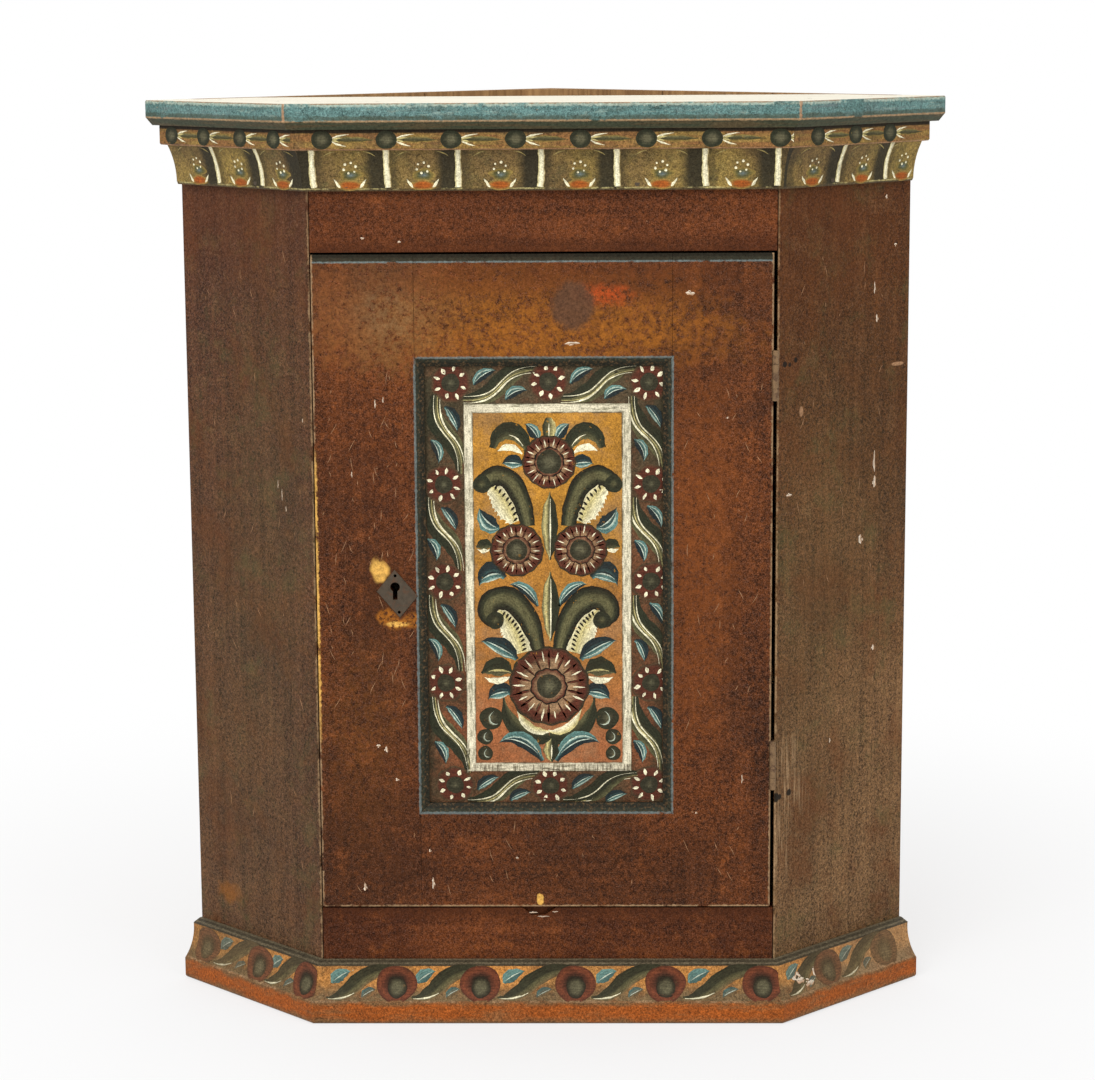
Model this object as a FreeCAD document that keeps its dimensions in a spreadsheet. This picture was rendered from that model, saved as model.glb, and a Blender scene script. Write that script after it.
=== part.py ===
import FreeCAD, Part
import math
import os
import Sketcher

# A painted five-sided cupboard that stands in the corner of a room.
# The front and the two canted sides face the room, and two walls of planks back onto the corner.
# +Z is up, the door looks along -Y, and +X is on the right of someone who faces the door.
# The origin is on the floor under the middle of the cupboard's box.
# Sizes are in millimetres. Inside each function y counts from the plane of the front, towards the corner.

DIMENSIONS = {
    # Case
    "total_height": 923,
    "front_width": 457,
    "cant_run": 142,
    "side_thickness": 22,
    "arris_flat": 2,
    "rebate_depth": 11,
    "back_thickness": 16,
    "plank_gap": 1.5,
    "left_inner_plank": 205,
    "right_inner_plank": 190,
    "middle_plank": 160,
    "post_face": 64,
    "fit_gap": 0.2,
    # Top board
    "top_thickness": 25,
    "top_overhang": 43,
    "top_rear": 190,
    "under_bevel": 8,
    "top_arris": 1.2,
    # Cornice
    "cornice_height": 60,
    "cornice_projection": 30,
    "cornice_fillet": 19.5,
    "cornice_arris": 1.5,
    "cove_top": 20.5,
    "cove_bottom": 10,
    "cornice_lip": 3,
    "cornice_cove_radius": 74,
    "cornice_stop_left": 5,
    "cornice_stop_right": 8,
    # Base moulding
    "base_height": 61.5,
    "base_projection": 24,
    "base_neck": 11.5,
    "base_ledge": 3,
    "base_fillet": 23.5,
    "base_bevel": 3.5,
    "base_round": 4,
    "base_arris": 1.5,
    "base_cove_radius": 47,
    # Front rails
    "rail_thickness": 22,
    "rail_gap": 1,
    "opening_bottom": 115.5,
    "opening_top": 778,
    "rail_tongue": 8,
    "tongue_front": 13,
    "tongue_thickness": 7,
    "finger_notch_width": 34,
    "finger_notch_height": 8,
    "finger_notch_depth": 6,
    "finger_notch_x": -8,
    # Floor, ceiling and shelves
    "floor_drop": 3.5,
    "floor_thickness": 20,
    "ceiling_height": 790,
    "ceiling_thickness": 16,
    "deck_joint": 262,
    "shelf_front": 50,
    "shelf_thickness": 18,
    "lower_shelf_height": 335,
    "upper_shelf_height": 560,
    "cleat_size": 20,
    "cleat_start": 45,
    "cleat_end": 70,
    # Door
    "door_thickness": 24,
    "door_proud": 3,
    "door_gap_left": 1.5,
    "door_gap_right": 4,
    "door_gap_level": 2,
    "left_stile_width": 109,
    "right_stile_width": 107.5,
    "top_rail_width": 110,
    "bottom_rail_width": 106.5,
    "door_arris": 1.2,
    "top_bevel_height": 5,
    "top_bevel_depth": 4,
    "sight_bevel": 9,
    "sight_depth": 6,
    "joint_gap": 0.3,
    "groove_front": 9,
    "groove_width": 7,
    "groove_depth": 12.5,
    "tenon_front": 8.5,
    "tenon_thickness": 8,
    "tenon_length": 46,
    "tenon_inset": 18,
    "peg_radius": 3.5,
    "peg_inset": 22,
    "peg_depth": 19,
    # Door panel
    "panel_width": 252,
    "panel_height": 459,
    "panel_shift": 3,
    "panel_middle": 443.5,
    "panel_bevel": 44,
    "panel_flat": 13,
    "panel_bevel_depth": 6,
    "panel_tongue": 6.4,
    "field_step": 1.6,
    # Lock and escutcheon
    "key_inset": 78,
    "key_height": 447,
    "keyhole_radius": 5,
    "keyhole_slot": 5,
    "keyhole_drop": 13,
    "escutcheon_drop": 7,
    "escutcheon_aside": 2,
    "escutcheon_half_width": 20.5,
    "escutcheon_half_height": 24.5,
    "escutcheon_lean": 2.4,
    "escutcheon_thickness": 1.5,
    "escutcheon_edge": 0.6,
    "lock_inset": 3,
    "lock_length": 104,
    "lock_low": 408,
    "lock_height": 70,
    "lock_depth": 16,
    "lock_sheet": 2,
    "lock_flange": 13,
    "lock_flange_end": 12,
    "bolt_low": 455,
    "bolt_height": 12,
    "bolt_head": 20,
    "bolt_head_length": 18,
    "bolt_length": 92,
    "bolt_thickness": 8,
    "bolt_travel": 12,
    "bolt_play": 0.5,
    "talon_width": 10,
    "talon_depth": 3,
    "stump_radius": 2,
    "stump_place": 54,
    "key_pin_radius": 1.8,
    "bolt_mortise": 10,
    "spring_radius": 59,
    "spring_strip": 1,
    "spring_width": 6,
    "spring_place": 49,
    # Hinges
    "hinge_height": 48,
    "hinge_low": 239,
    "hinge_high": 631.5,
    "hinge_leaf": 1.6,
    "hinge_width": 22,
    "knuckle_radius": 3.2,
    "knuckle_room": 0.6,
    "knuckle_play": 0.15,
    "hinge_pin_radius": 1.7,
    "hinge_pin_play": 0.05,
    "pin_head_height": 1.4,
    # Nails and screws
    "nail_head": 2.6,
    "nail_head_height": 1,
    "nail_shank": 2.6,
    "nail_tip": 1,
    "nail_length": 42,
    "nail_clear": 2,
    "brad_head": 1.6,
    "brad_head_height": 0.6,
    "brad_shank": 1.5,
    "brad_tip": 0.6,
    "brad_length": 13,
    "screw_head": 3.2,
    "screw_shank": 1.6,
    "screw_length": 11,
    "screw_play": 0.3,
    "countersink": 1.4,
    "screw_setback": 14,
    "screw_spread": 15,
}

ROOT_TWO = math.sqrt(2)
HALF_ROOT = ROOT_TWO / 2
# The front and the cants meet at 135 degrees, so a mitre leans by half of the 45 degree turn.
MITRE = math.tan(math.radians(22.5))
# Extra reach of a cut past the face that it comes out of.
OVERCUT = 1
# Pegs, shanks and nail heads are whittled or filed to eight sides, screw heads to sixteen.
SIDES = 8
HEAD_SIDES = 16
# Places of the nails: across the front as shares of half its width, along a cant as shares of its run,
# and along a wall as shares of its length.
CORNICE_LOW_NAILS = ((-0.83, 0.4), (0.48,))
CORNICE_HIGH_NAILS = ((-0.3, 0.8), (0.9,))
BASE_NAILS = ((-0.75, 0.1, 0.8), (0.35, 1.1))
SIDE_NAILS = (0.45, 1.15)
WALL_NAILS = (0.1, 0.24, 0.36, 0.54, 0.68, 0.86)
TOP_NAILS = ((-0.7, 0, 0.7), (0.4, 1.05))
CLEAT_NAILS = (0.22, 0.6)

doc = FreeCAD.newDocument("corner_cabinet")
sheet = doc.addObject("Spreadsheet::Sheet", "dims")
for row, (alias, number) in enumerate(DIMENSIONS.items(), start=1):
    sheet.set(f"A{row}", alias)
    sheet.set(f"B{row}", str(number))
    sheet.setAlias(f"B{row}", alias)
doc.recompute()


class Size:
    """A length worked out from the sheet: the formula that binds it, and its number."""

    def __init__(self, formula, number):
        self.formula = formula
        self.number = number

    def combined(self, sign, other, number):
        return Size(f"({self.formula} {sign} {other.formula})", number)

    def __add__(self, other):
        other = sized(other)
        return self.combined("+", other, self.number + other.number)

    def __sub__(self, other):
        other = sized(other)
        return self.combined("-", other, self.number - other.number)

    def __mul__(self, other):
        other = sized(other)
        return self.combined("*", other, self.number * other.number)

    def __truediv__(self, other):
        other = sized(other)
        return self.combined("/", other, self.number / other.number)

    def __neg__(self):
        return self * -1

    def __radd__(self, other):
        return sized(other) + self

    def __rsub__(self, other):
        return sized(other) - self

    def __rmul__(self, other):
        return sized(other) * self


def sized(value):
    """The value as a Size, also where it is a plain number."""
    if isinstance(value, Size):
        return value
    return Size(f"({float(value)!r})", float(value))


def dim(alias):
    """The Size of one cell of the sheet."""
    return Size(f"dims.{alias}", float(sheet.get(alias)))


def bind(thing, prop, value):
    thing.setExpression(prop, sized(value).formula)


# Places that many pieces share, in plan and in height.
half = dim("front_width") / 2
cant = dim("cant_run")
side = dim("side_thickness")
back = dim("back_thickness")
gap = dim("fit_gap")
overhang = dim("top_overhang")
# Distance from the front to the corner where the two walls meet.
corner_depth = half + 2 * cant
# The whole case is moved so that the origin is under the middle of its box.
shift = (overhang - corner_depth) / 2
# Length of one wall from the outer face of its cant to the corner.
wall_length = (half + cant) * ROOT_TWO
cant_length = cant * ROOT_TWO
side_edge = side * ROOT_TWO
# The inner faces of the walls and the face of the corner post.
inner_corner = corner_depth - back * ROOT_TWO
post_front = inner_corner - dim("post_face") / 2
case_top = dim("total_height") - dim("top_thickness")
floor_top = dim("opening_bottom") - dim("floor_drop")
floor_under = floor_top - dim("floor_thickness")
ceiling_top = dim("ceiling_height") + dim("ceiling_thickness")

door_left = dim("door_gap_left") - half
door_right = half - dim("door_gap_right")
door_bottom = dim("opening_bottom") + dim("door_gap_level")
door_top = dim("opening_top") - dim("door_gap_level")
door_front = -dim("door_proud")
door_back = door_front + dim("door_thickness")
sight_left = door_left + dim("left_stile_width")
sight_right = door_right - dim("right_stile_width")
sight_bottom = door_bottom + dim("bottom_rail_width")
sight_top = door_top - dim("top_rail_width")
joint_left = sight_left - dim("sight_bevel")
joint_right = sight_right + dim("sight_bevel")
flat_bottom = sight_bottom - dim("sight_bevel")
flat_top = sight_top + dim("sight_bevel")
tenon_start = door_front + dim("tenon_front")
tenon_stop = tenon_start + dim("tenon_thickness")

key_x = door_left + dim("key_inset")
key_z = dim("key_height")
lock_left = door_left + dim("lock_inset")
lock_right = lock_left + dim("lock_length")
lock_bottom = dim("lock_low")
lock_top = lock_bottom + dim("lock_height")
lock_back = door_back + dim("lock_depth")
bolt_front = door_back + dim("lock_sheet") + dim("bolt_play")
bolt_back = bolt_front + dim("bolt_thickness")
bolt_middle = dim("bolt_low") + dim("bolt_height") / 2
bolt_head_bottom = bolt_middle - dim("bolt_head") / 2
bolt_head_top = bolt_middle + dim("bolt_head") / 2
stump_x = lock_left + dim("stump_place")

hinge_x = half - dim("door_gap_right") / 2
hinge_y = door_front
leaf_start = hinge_y + dim("knuckle_radius") + dim("knuckle_room")
leaf_stop = hinge_y + dim("hinge_width")
HINGES = {"upper": dim("hinge_high"), "lower": dim("hinge_low")}

parts = []


def keep(label, thing):
    thing.Label = label
    parts.append(thing)
    return thing


def new_body(label, base=(0, 0, 0), turn=0):
    """A body whose own axes stand at base, turned about the vertical by turn degrees."""
    body = keep(label, doc.addObject("PartDesign::Body", label))
    bind(body, "Placement.Base.x", base[0])
    bind(body, "Placement.Base.y", base[1] + shift)
    bind(body, "Placement.Base.z", base[2])
    bind(body, "Placement.Rotation.Angle", turn)
    return body


def new_sketch(body, plane, offset):
    sketch = body.newObject("Sketcher::SketchObject", "outline")
    origin_plane = next(item for item in body.Origin.OriginFeatures if item.Role == plane)
    sketch.AttachmentSupport = [(origin_plane, "")]
    sketch.MapMode = "FlatFace"
    bind(sketch, "AttachmentOffset.Base.z", offset)
    return sketch


def constrain(sketch, size, *terms):
    index = sketch.addConstraint(Sketcher.Constraint(*terms, size.number))
    sketch.setExpression(f"Constraints[{index}]", size.formula)


def fix_point(sketch, piece, end, point):
    constrain(sketch, sized(point[0]), "DistanceX", -1, 1, piece, end)
    constrain(sketch, sized(point[1]), "DistanceY", -1, 1, piece, end)


def spot(point):
    return FreeCAD.Vector(sized(point[0]).number, sized(point[1]).number, 0)


def add_arc(sketch, start, stop, radius, turn):
    """An arc from start to stop; turn is 1 where its centre is on the left hand, -1 on the right."""
    chord = stop - start
    sideways = FreeCAD.Vector(-chord.y, chord.x, 0).normalize()
    rise = math.sqrt(radius.number ** 2 - (chord.Length / 2) ** 2)
    centre = (start + stop) * 0.5 + sideways * (turn * rise)
    first, last = (start, stop) if turn > 0 else (stop, start)
    angles = [math.atan2(end.y - centre.y, end.x - centre.x) for end in (first, last)]
    circle = Part.Circle(centre, FreeCAD.Vector(0, 0, 1), radius.number)
    arc = sketch.addGeometry(Part.ArcOfCircle(circle, *angles), False)
    constrain(sketch, radius, "Radius", arc)
    return (arc, 1, 2) if turn > 0 else (arc, 2, 1)


def draw_outline(sketch, corners, rounds):
    """A closed line through corners; rounds gives (radius, turn) for the corner that an arc leaves."""
    pieces = []
    for index, start in enumerate(corners):
        stop = corners[(index + 1) % len(corners)]
        if index in rounds:
            radius, turn = rounds[index]
            pieces.append(add_arc(sketch, spot(start), spot(stop), sized(radius), turn))
        else:
            line = sketch.addGeometry(Part.LineSegment(spot(start), spot(stop)), False)
            pieces.append((line, 1, 2))
    for index, (piece, first, last) in enumerate(pieces):
        following, following_first, _ = pieces[(index + 1) % len(pieces)]
        sketch.addConstraint(Sketcher.Constraint("Coincident", piece, last, following, following_first))
        fix_point(sketch, piece, first, corners[index])


def draw_circle(sketch, centre, radius):
    circle = sketch.addGeometry(
        Part.Circle(spot(centre), FreeCAD.Vector(0, 0, 1), sized(radius).number), False)
    fix_point(sketch, circle, 3, centre)
    constrain(sketch, sized(radius), "Radius", circle)


def add(body, sketch_plane, start, stop, corners=None, rounds=None, circle=None):
    """Fill an outline, or a circle given as (centre, radius), from start to stop across its plane."""
    forward = sketch_plane != "XZ_Plane"
    sketch = new_sketch(body, sketch_plane, start if forward else -sized(stop))
    if circle:
        draw_circle(sketch, *circle)
    else:
        draw_outline(sketch, corners, rounds or {})
    feature = body.newObject("PartDesign::Pad", "fill")
    feature.Profile = sketch
    bind(feature, "Length", sized(stop) - start)
    doc.recompute()
    return feature


def cut(body, sketch_plane, start, stop, corners=None, rounds=None, circle=None):
    """Take an outline, or a circle given as (centre, radius), out of the body from start to stop."""
    forward = sketch_plane != "XZ_Plane"
    before = body.Shape.Volume
    sketch = new_sketch(body, sketch_plane, stop if forward else -sized(start))
    if circle:
        draw_circle(sketch, *circle)
    else:
        draw_outline(sketch, corners, rounds or {})
    feature = body.newObject("PartDesign::Pocket", "cut")
    feature.Profile = sketch
    bind(feature, "Length", sized(stop) - start)
    doc.recompute()
    if body.Shape.Volume >= before:
        raise RuntimeError(f"{body.Label}: a cut took nothing away")
    return feature


def chamfer(body, size, wanted):
    """Take the arris off every edge whose middle the wanted function picks."""
    base = body.Tip
    names = [f"Edge{index}" for index, edge in enumerate(base.Shape.Edges, start=1)
             if wanted(edge.valueAt((edge.FirstParameter + edge.LastParameter) / 2))]
    feature = body.newObject("PartDesign::Chamfer", "arris")
    feature.Base = (base, names)
    bind(feature, "Size", size)
    doc.recompute()
    return feature


def rectangle(low, high):
    return [low, (high[0], low[1]), high, (low[0], high[1])]


def polygon(centre, radius, sides):
    """Corners of an even-sided outline, the first one straight to the right of its centre."""
    angles = [2 * math.pi * index / sides for index in range(sides)]
    return [(centre[0] + radius * math.cos(angle), centre[1] + radius * math.sin(angle))
            for angle in angles]


def near(first, second):
    return abs(first - second) < 0.01


def side_board(label, hand):
    """A canted side: its front edge runs straight back from the arris, its rear edge is rebated."""
    body = new_body(label)
    flat = dim("arris_flat")
    rear = (half + cant, cant)
    outer_rest = (side - dim("rebate_depth")) * HALF_ROOT
    rebate = dim("rebate_depth") * HALF_ROOT
    seat = back * HALF_ROOT
    plan = [
        (half, flat),
        (half + flat, flat),
        rear,
        (rear[0] - outer_rest, rear[1] + outer_rest),
        (rear[0] - outer_rest - seat, rear[1] + outer_rest - seat),
        (rear[0] - outer_rest - seat - rebate, rear[1] + outer_rest - seat + rebate),
        (half, side_edge),
    ]
    add(body, "XY_Plane", 0, case_top, [(hand * x, y) for x, y in plan])
    tongue = [dim("tongue_front") - gap, dim("tongue_front") + dim("tongue_thickness") + gap]
    slot = sorted([hand * (half - OVERCUT), hand * (half + dim("rail_tongue"))], key=lambda x: x.number)
    for low, high in ((sized(-OVERCUT), dim("opening_bottom")), (dim("opening_top"), case_top + OVERCUT)):
        cut(body, "XY_Plane", low, high, rectangle((slot[0], tongue[0]), (slot[1], tongue[1])))
    return body


def left_side_board():
    body = side_board("left_side_board", -1)
    play = dim("bolt_play")
    hole = rectangle((bolt_front - play, bolt_head_bottom - play), (bolt_back + play, bolt_head_top + play))
    cut(body, "YZ_Plane", -half - dim("bolt_mortise"), OVERCUT - half, hole)


def rail(label, low, high):
    """A front rail with a tongue along each end that lies in the side boards."""
    body = new_body(label)
    end = half - dim("rail_gap")
    tongue_end = half + dim("rail_tongue") - gap
    tongue_front = dim("tongue_front")
    tongue_back = tongue_front + dim("tongue_thickness")
    plan = [
        (-end, 0),
        (end, 0),
        (end, tongue_front),
        (tongue_end, tongue_front),
        (tongue_end, tongue_back),
        (end, tongue_back),
        (end, dim("rail_thickness")),
        (-end, dim("rail_thickness")),
        (-end, tongue_back),
        (-tongue_end, tongue_back),
        (-tongue_end, tongue_front),
        (-end, tongue_front),
    ]
    add(body, "XY_Plane", low, high, plan)
    return body


def front_rails():
    rail("front_top_rail", dim("opening_top") + gap, case_top)
    body = rail("front_bottom_rail", 0, dim("opening_bottom") - gap)
    middle = dim("finger_notch_x")
    reach = dim("finger_notch_width") / 2
    level = dim("opening_bottom")
    rise = dim("finger_notch_height")
    hollow = [(middle + reach, level), (middle - reach, level), (middle - reach / 2, level - rise),
              (middle + reach / 3, level - rise)]
    cut(body, "XZ_Plane", -OVERCUT, dim("finger_notch_depth"), hollow)


def wall_plank(label, hand, start, stop):
    """A plank of a back wall, placed by its distance along the wall from the cant."""
    base = (hand * (half + cant), cant, 0)
    body = new_body(label, base, 90 + 45 * hand)
    faces = (0, back) if hand > 0 else (-back, 0)
    add(body, "XY_Plane", 0, dim("total_height"), rectangle((start, faces[0]), (stop, faces[1])))


def wall_planks():
    first = side - dim("rebate_depth") + gap
    space = dim("plank_gap")
    ends = {"left": (-1, wall_length, dim("left_inner_plank")),
            "right": (1, wall_length - back - gap, dim("right_inner_plank"))}
    for name, (hand, corner_end, inner) in ends.items():
        inner_start = wall_length - inner
        middle_start = inner_start - dim("middle_plank")
        wall_plank(f"back_board_{name}_inner", hand, inner_start, corner_end)
        wall_plank(f"back_board_{name}_middle", hand, middle_start, inner_start - space)
        wall_plank(f"back_board_{name}_outer", hand, first, middle_start - space)


def corner_post():
    """The three-cornered post behind the joint of the walls."""
    body = new_body("corner_post")
    reach = dim("post_face") / 2 - gap * ROOT_TWO
    add(body, "XY_Plane", 0, dim("total_height"),
        [(-reach, post_front), (reach, post_front), (0, post_front + reach)])


def mirrored(right_side):
    """A plan symmetrical about the middle, from its right half listed from the front to the rear."""
    return right_side + [(-x, y) for x, y in reversed(right_side)]


def wall_reach(y):
    """How far a board may reach sideways at depth y before it meets a wall."""
    return inner_corner - gap * ROOT_TWO - y


def inner_angle():
    """The corner between a cant and a wall, inside the case."""
    depth = (inner_corner - half + side_edge) / 2
    return (wall_reach(depth), depth)


def decks():
    """Floor and ceiling, each of a front board and a rear board with the joint across the case."""
    joint = dim("deck_joint")
    front_edge = dim("rail_thickness") + gap
    front_plan = [
        (half - gap, front_edge),
        (half - gap, side_edge),
        inner_angle(),
        (wall_reach(joint), joint),
    ]
    rear_start = joint + dim("plank_gap") / 2
    rear_plan = [(wall_reach(rear_start), rear_start), (wall_reach(post_front), post_front - gap)]
    levels = {"floor_board": (floor_under, floor_top), "ceiling_board": (dim("ceiling_height"), ceiling_top)}
    for name, (low, high) in levels.items():
        add(new_body(f"{name}_front"), "XY_Plane", low, high, mirrored(front_plan))
        add(new_body(f"{name}_rear"), "XY_Plane", low, high, mirrored(rear_plan))


def shelves():
    """Two loose shelves, each on a cleat along either wall."""
    front = dim("shelf_front")
    plan = [
        (half + front - side_edge - gap * ROOT_TWO, front),
        inner_angle(),
        (wall_reach(post_front), post_front - gap),
    ]
    for name, low in (("lower", dim("lower_shelf_height")), ("upper", dim("upper_shelf_height"))):
        body = new_body(f"{name}_shelf")
        add(body, "XY_Plane", low, low + dim("shelf_thickness"), mirrored(plan))
        for side_name, hand in (("left", -1), ("right", 1)):
            cleat = new_body(f"{name}_cleat_{side_name}", (hand * (half + cant), cant, 0), 90 + 45 * hand)
            faces = (back, back + dim("cleat_size")) if hand > 0 else (-back - dim("cleat_size"), -back)
            ends = (dim("cleat_start"), wall_length - back - dim("cleat_end"))
            add(cleat, "XY_Plane", low - dim("cleat_size"), low,
                rectangle((ends[0], faces[0]), (ends[1], faces[1])))


def top_board():
    """The top: a plank with a bevelled under edge, let in between the ends of the wall planks."""
    body = new_body("top_board")
    front_x = half + overhang * MITRE
    tip_x = (corner_depth + front_x + overhang) / 2
    let_in = (side - dim("rebate_depth") - gap) * HALF_ROOT
    seat = (back + gap) * HALF_ROOT
    rear = dim("top_rear")
    notch = (half + cant - let_in, cant + let_in)
    plan = [
        (front_x, -overhang),
        (tip_x, corner_depth - tip_x),
        notch,
        (notch[0] - seat, notch[1] - seat),
        (corner_depth - 2 * seat - rear, rear),
    ]
    add(body, "XY_Plane", case_top, dim("total_height"), mirrored(plan))

    def on_show(point):
        on_front = near(point.y, -overhang.number)
        on_cant = near(abs(point.x) - point.y, (front_x + overhang).number)
        return on_front or on_cant

    chamfer(body, dim("under_bevel"), lambda point: on_show(point) and near(point.z, case_top.number))
    chamfer(body, dim("top_arris"),
            lambda point: on_show(point) and near(point.z, dim("total_height").number))


def cornice_profile():
    """Section of the cornice: a lip, a cove and a fillet, as (depth, height)."""
    low = case_top - dim("cornice_height")
    fillet_low = case_top - dim("cornice_fillet")
    arris = dim("cornice_arris")
    projection = dim("cornice_projection")
    corners = [
        (0, low),
        (arris - dim("cove_bottom"), low),
        (-dim("cove_bottom"), low + dim("cornice_lip")),
        (-dim("cove_top"), fillet_low - arris / 2),
        (arris - projection, fillet_low),
        (-projection, fillet_low + arris),
        (-projection, case_top),
        (0, case_top),
    ]
    return corners, {2: (dim("cornice_cove_radius"), 1)}, projection


def base_profile():
    """Section of the base moulding: a fillet on the floor, a cove and a bevelled neck."""
    projection = dim("base_projection")
    round_off = dim("base_round")
    arris = dim("base_arris")
    corners = [
        (0, 0),
        (round_off - projection, 0),
        (-projection, round_off),
        (-projection, dim("base_fillet") - arris),
        (arris - projection, dim("base_fillet")),
        (-dim("base_neck"), dim("base_height") - dim("base_bevel")),
        (-dim("base_ledge"), dim("base_height")),
        (0, dim("base_height")),
    ]
    return corners, {1: (round_off, -1), 4: (dim("base_cove_radius"), 1)}, projection


def moulding(label, profile, base, turn, length, mitres):
    """One length of a moulding along its own X axis, mitred at the ends that mitres names."""
    corners, rounds, projection = profile
    body = new_body(label, base, turn)
    reach = projection * MITRE
    start = -reach if "start" in mitres else sized(0)
    stop = length + reach if "stop" in mitres else length
    add(body, "YZ_Plane", start, stop, corners, rounds)
    waste = projection + OVERCUT
    top = max(sized(height).number for _, height in corners) + OVERCUT
    triangle = [(OVERCUT * MITRE, OVERCUT), (-waste * MITRE, -waste), (-waste, OVERCUT)]
    if "start" in mitres:
        cut(body, "XY_Plane", -OVERCUT, top, triangle)
    if "stop" in mitres:
        cut(body, "XY_Plane", -OVERCUT, top, [(length - x, y) for x, y in triangle])


def mouldings():
    """Cornice and base; the cornice's side lengths stop short of the room's walls."""
    short_left, short_right = dim("cornice_stop_left"), dim("cornice_stop_right")
    for name, profile, left_stop, right_stop in (("cornice", cornice_profile(), short_left, short_right),
                                                 ("base_moulding", base_profile(), sized(0), sized(0))):
        moulding(f"{name}_front", profile, (-half, 0, 0), 0, 2 * half, ("start", "stop"))
        left_end = (left_stop * HALF_ROOT - half - cant, cant - left_stop * HALF_ROOT, 0)
        moulding(f"{name}_left", profile, left_end, -45, cant_length - left_stop, ("stop",))
        moulding(f"{name}_right", profile, (half, 0, 0), 45, cant_length - right_stop, ("start",))


def tenon_levels(name):
    """Lowest and highest point of the tenons of the door's top or bottom rail."""
    clear = dim("groove_depth") + dim("peg_radius")
    if name == "top":
        return sight_top + clear, door_top - dim("tenon_inset")
    return door_bottom + dim("tenon_inset"), sight_bottom - clear


def peg_spots():
    """Places of the pegs, two through each tenon, as (x, z)."""
    spots = []
    for name in ("top", "bottom"):
        low, high = tenon_levels(name)
        for x in (joint_left - dim("peg_inset"), joint_right + dim("peg_inset")):
            spots.append((x, low + (high - low) / 4))
            spots.append((x, high - (high - low) / 4))
    return spots


def panel_groove(body):
    """The groove that the panel's edges lie in, cut out of the members round the opening."""
    deep = dim("groove_depth")
    start = door_front + dim("groove_front")
    window = rectangle((sight_left - deep, sight_bottom - deep), (sight_right + deep, sight_top + deep))
    cut(body, "XZ_Plane", start, start + dim("groove_width"), window)


def drill_pegs(body, wanted):
    for x, z in peg_spots():
        if wanted(x.number, z.number):
            cut(body, "XZ_Plane", door_back - dim("peg_depth"), door_back + OVERCUT,
                polygon((x, z), dim("peg_radius") + gap / 4, SIDES))


def top_edge_bevel(body):
    """The bevel along the upper front edge of the door."""
    fall = dim("top_bevel_height")
    triangle = [(door_front, door_top - fall), (door_front, door_top),
                (door_front + dim("top_bevel_depth"), door_top)]
    cut(body, "YZ_Plane", -half, half, triangle)


def stile(label, outer, joint, sight):
    """A stile of the door, mitred where its bevelled inner edge meets those of the rails."""
    body = new_body(label)
    hand = 1 if outer.number > 0 else -1
    face = [
        (outer, door_bottom),
        (joint, door_bottom),
        (joint, flat_bottom),
        (sight, sight_bottom),
        (sight, sight_top),
        (joint, flat_top),
        (joint, door_top),
        (outer, door_top),
    ]
    add(body, "XZ_Plane", door_front, door_back, face)
    bevel = [(joint, door_front), (sight, door_front), (sight, door_front + dim("sight_depth"))]
    cut(body, "XY_Plane", door_bottom, door_top, bevel)
    arris = dim("door_arris")
    edge = [(outer, door_front), (outer - hand * arris, door_front), (outer, door_front + arris)]
    cut(body, "XY_Plane", door_bottom, door_top, edge)
    top_edge_bevel(body)
    panel_groove(body)
    for name in ("top", "bottom"):
        low, high = tenon_levels(name)
        ends = sorted([joint + hand * (dim("tenon_length") + gap), joint - hand * OVERCUT],
                      key=lambda x: x.number)
        cut(body, "XZ_Plane", tenon_start - gap / 2, tenon_stop + gap / 2,
            rectangle((ends[0], low - gap), (ends[1], high + gap)))
    drill_pegs(body, lambda x, z: x * hand > 0)
    return body


def left_stile():
    body = stile("door_stile_left", door_left, joint_left, sight_left)
    cut(body, "XZ_Plane", door_front - OVERCUT, door_back + OVERCUT,
        circle=((key_x, key_z), dim("keyhole_radius")))
    slot = dim("keyhole_slot") / 2
    cut(body, "XZ_Plane", door_front - OVERCUT, door_back + OVERCUT,
        rectangle((key_x - slot, key_z - dim("keyhole_drop")), (key_x + slot, key_z)))


def right_stile():
    body = stile("door_stile_right", door_right, joint_right, sight_right)
    room = dim("knuckle_radius") + dim("knuckle_room") * 2 / 3
    for low in HINGES.values():
        cut(body, "XY_Plane", low - gap, low + dim("hinge_height") + dim("pin_head_height") + gap,
            circle=((hinge_x, hinge_y), room))


def door_rail(name, outer, flat, sight):
    """A rail of the door with a tenon at each end."""
    body = new_body(f"door_{name}_rail")
    space = dim("joint_gap")
    face = [
        (joint_left + space, outer),
        (joint_left + space, flat),
        (sight_left + space, sight),
        (sight_right - space, sight),
        (joint_right - space, flat),
        (joint_right - space, outer),
    ]
    add(body, "XZ_Plane", door_front, door_back, face)
    low, high = tenon_levels(name)
    tenons = rectangle((joint_left - dim("tenon_length"), low), (joint_right + dim("tenon_length"), high))
    add(body, "XZ_Plane", tenon_start, tenon_stop, tenons)
    bevel = [(door_front, flat), (door_front, sight), (door_front + dim("sight_depth"), sight)]
    cut(body, "YZ_Plane", joint_left, joint_right, bevel)
    if name == "top":
        top_edge_bevel(body)
    panel_groove(body)
    drill_pegs(body, lambda x, z: low.number < z < high.number)


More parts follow.
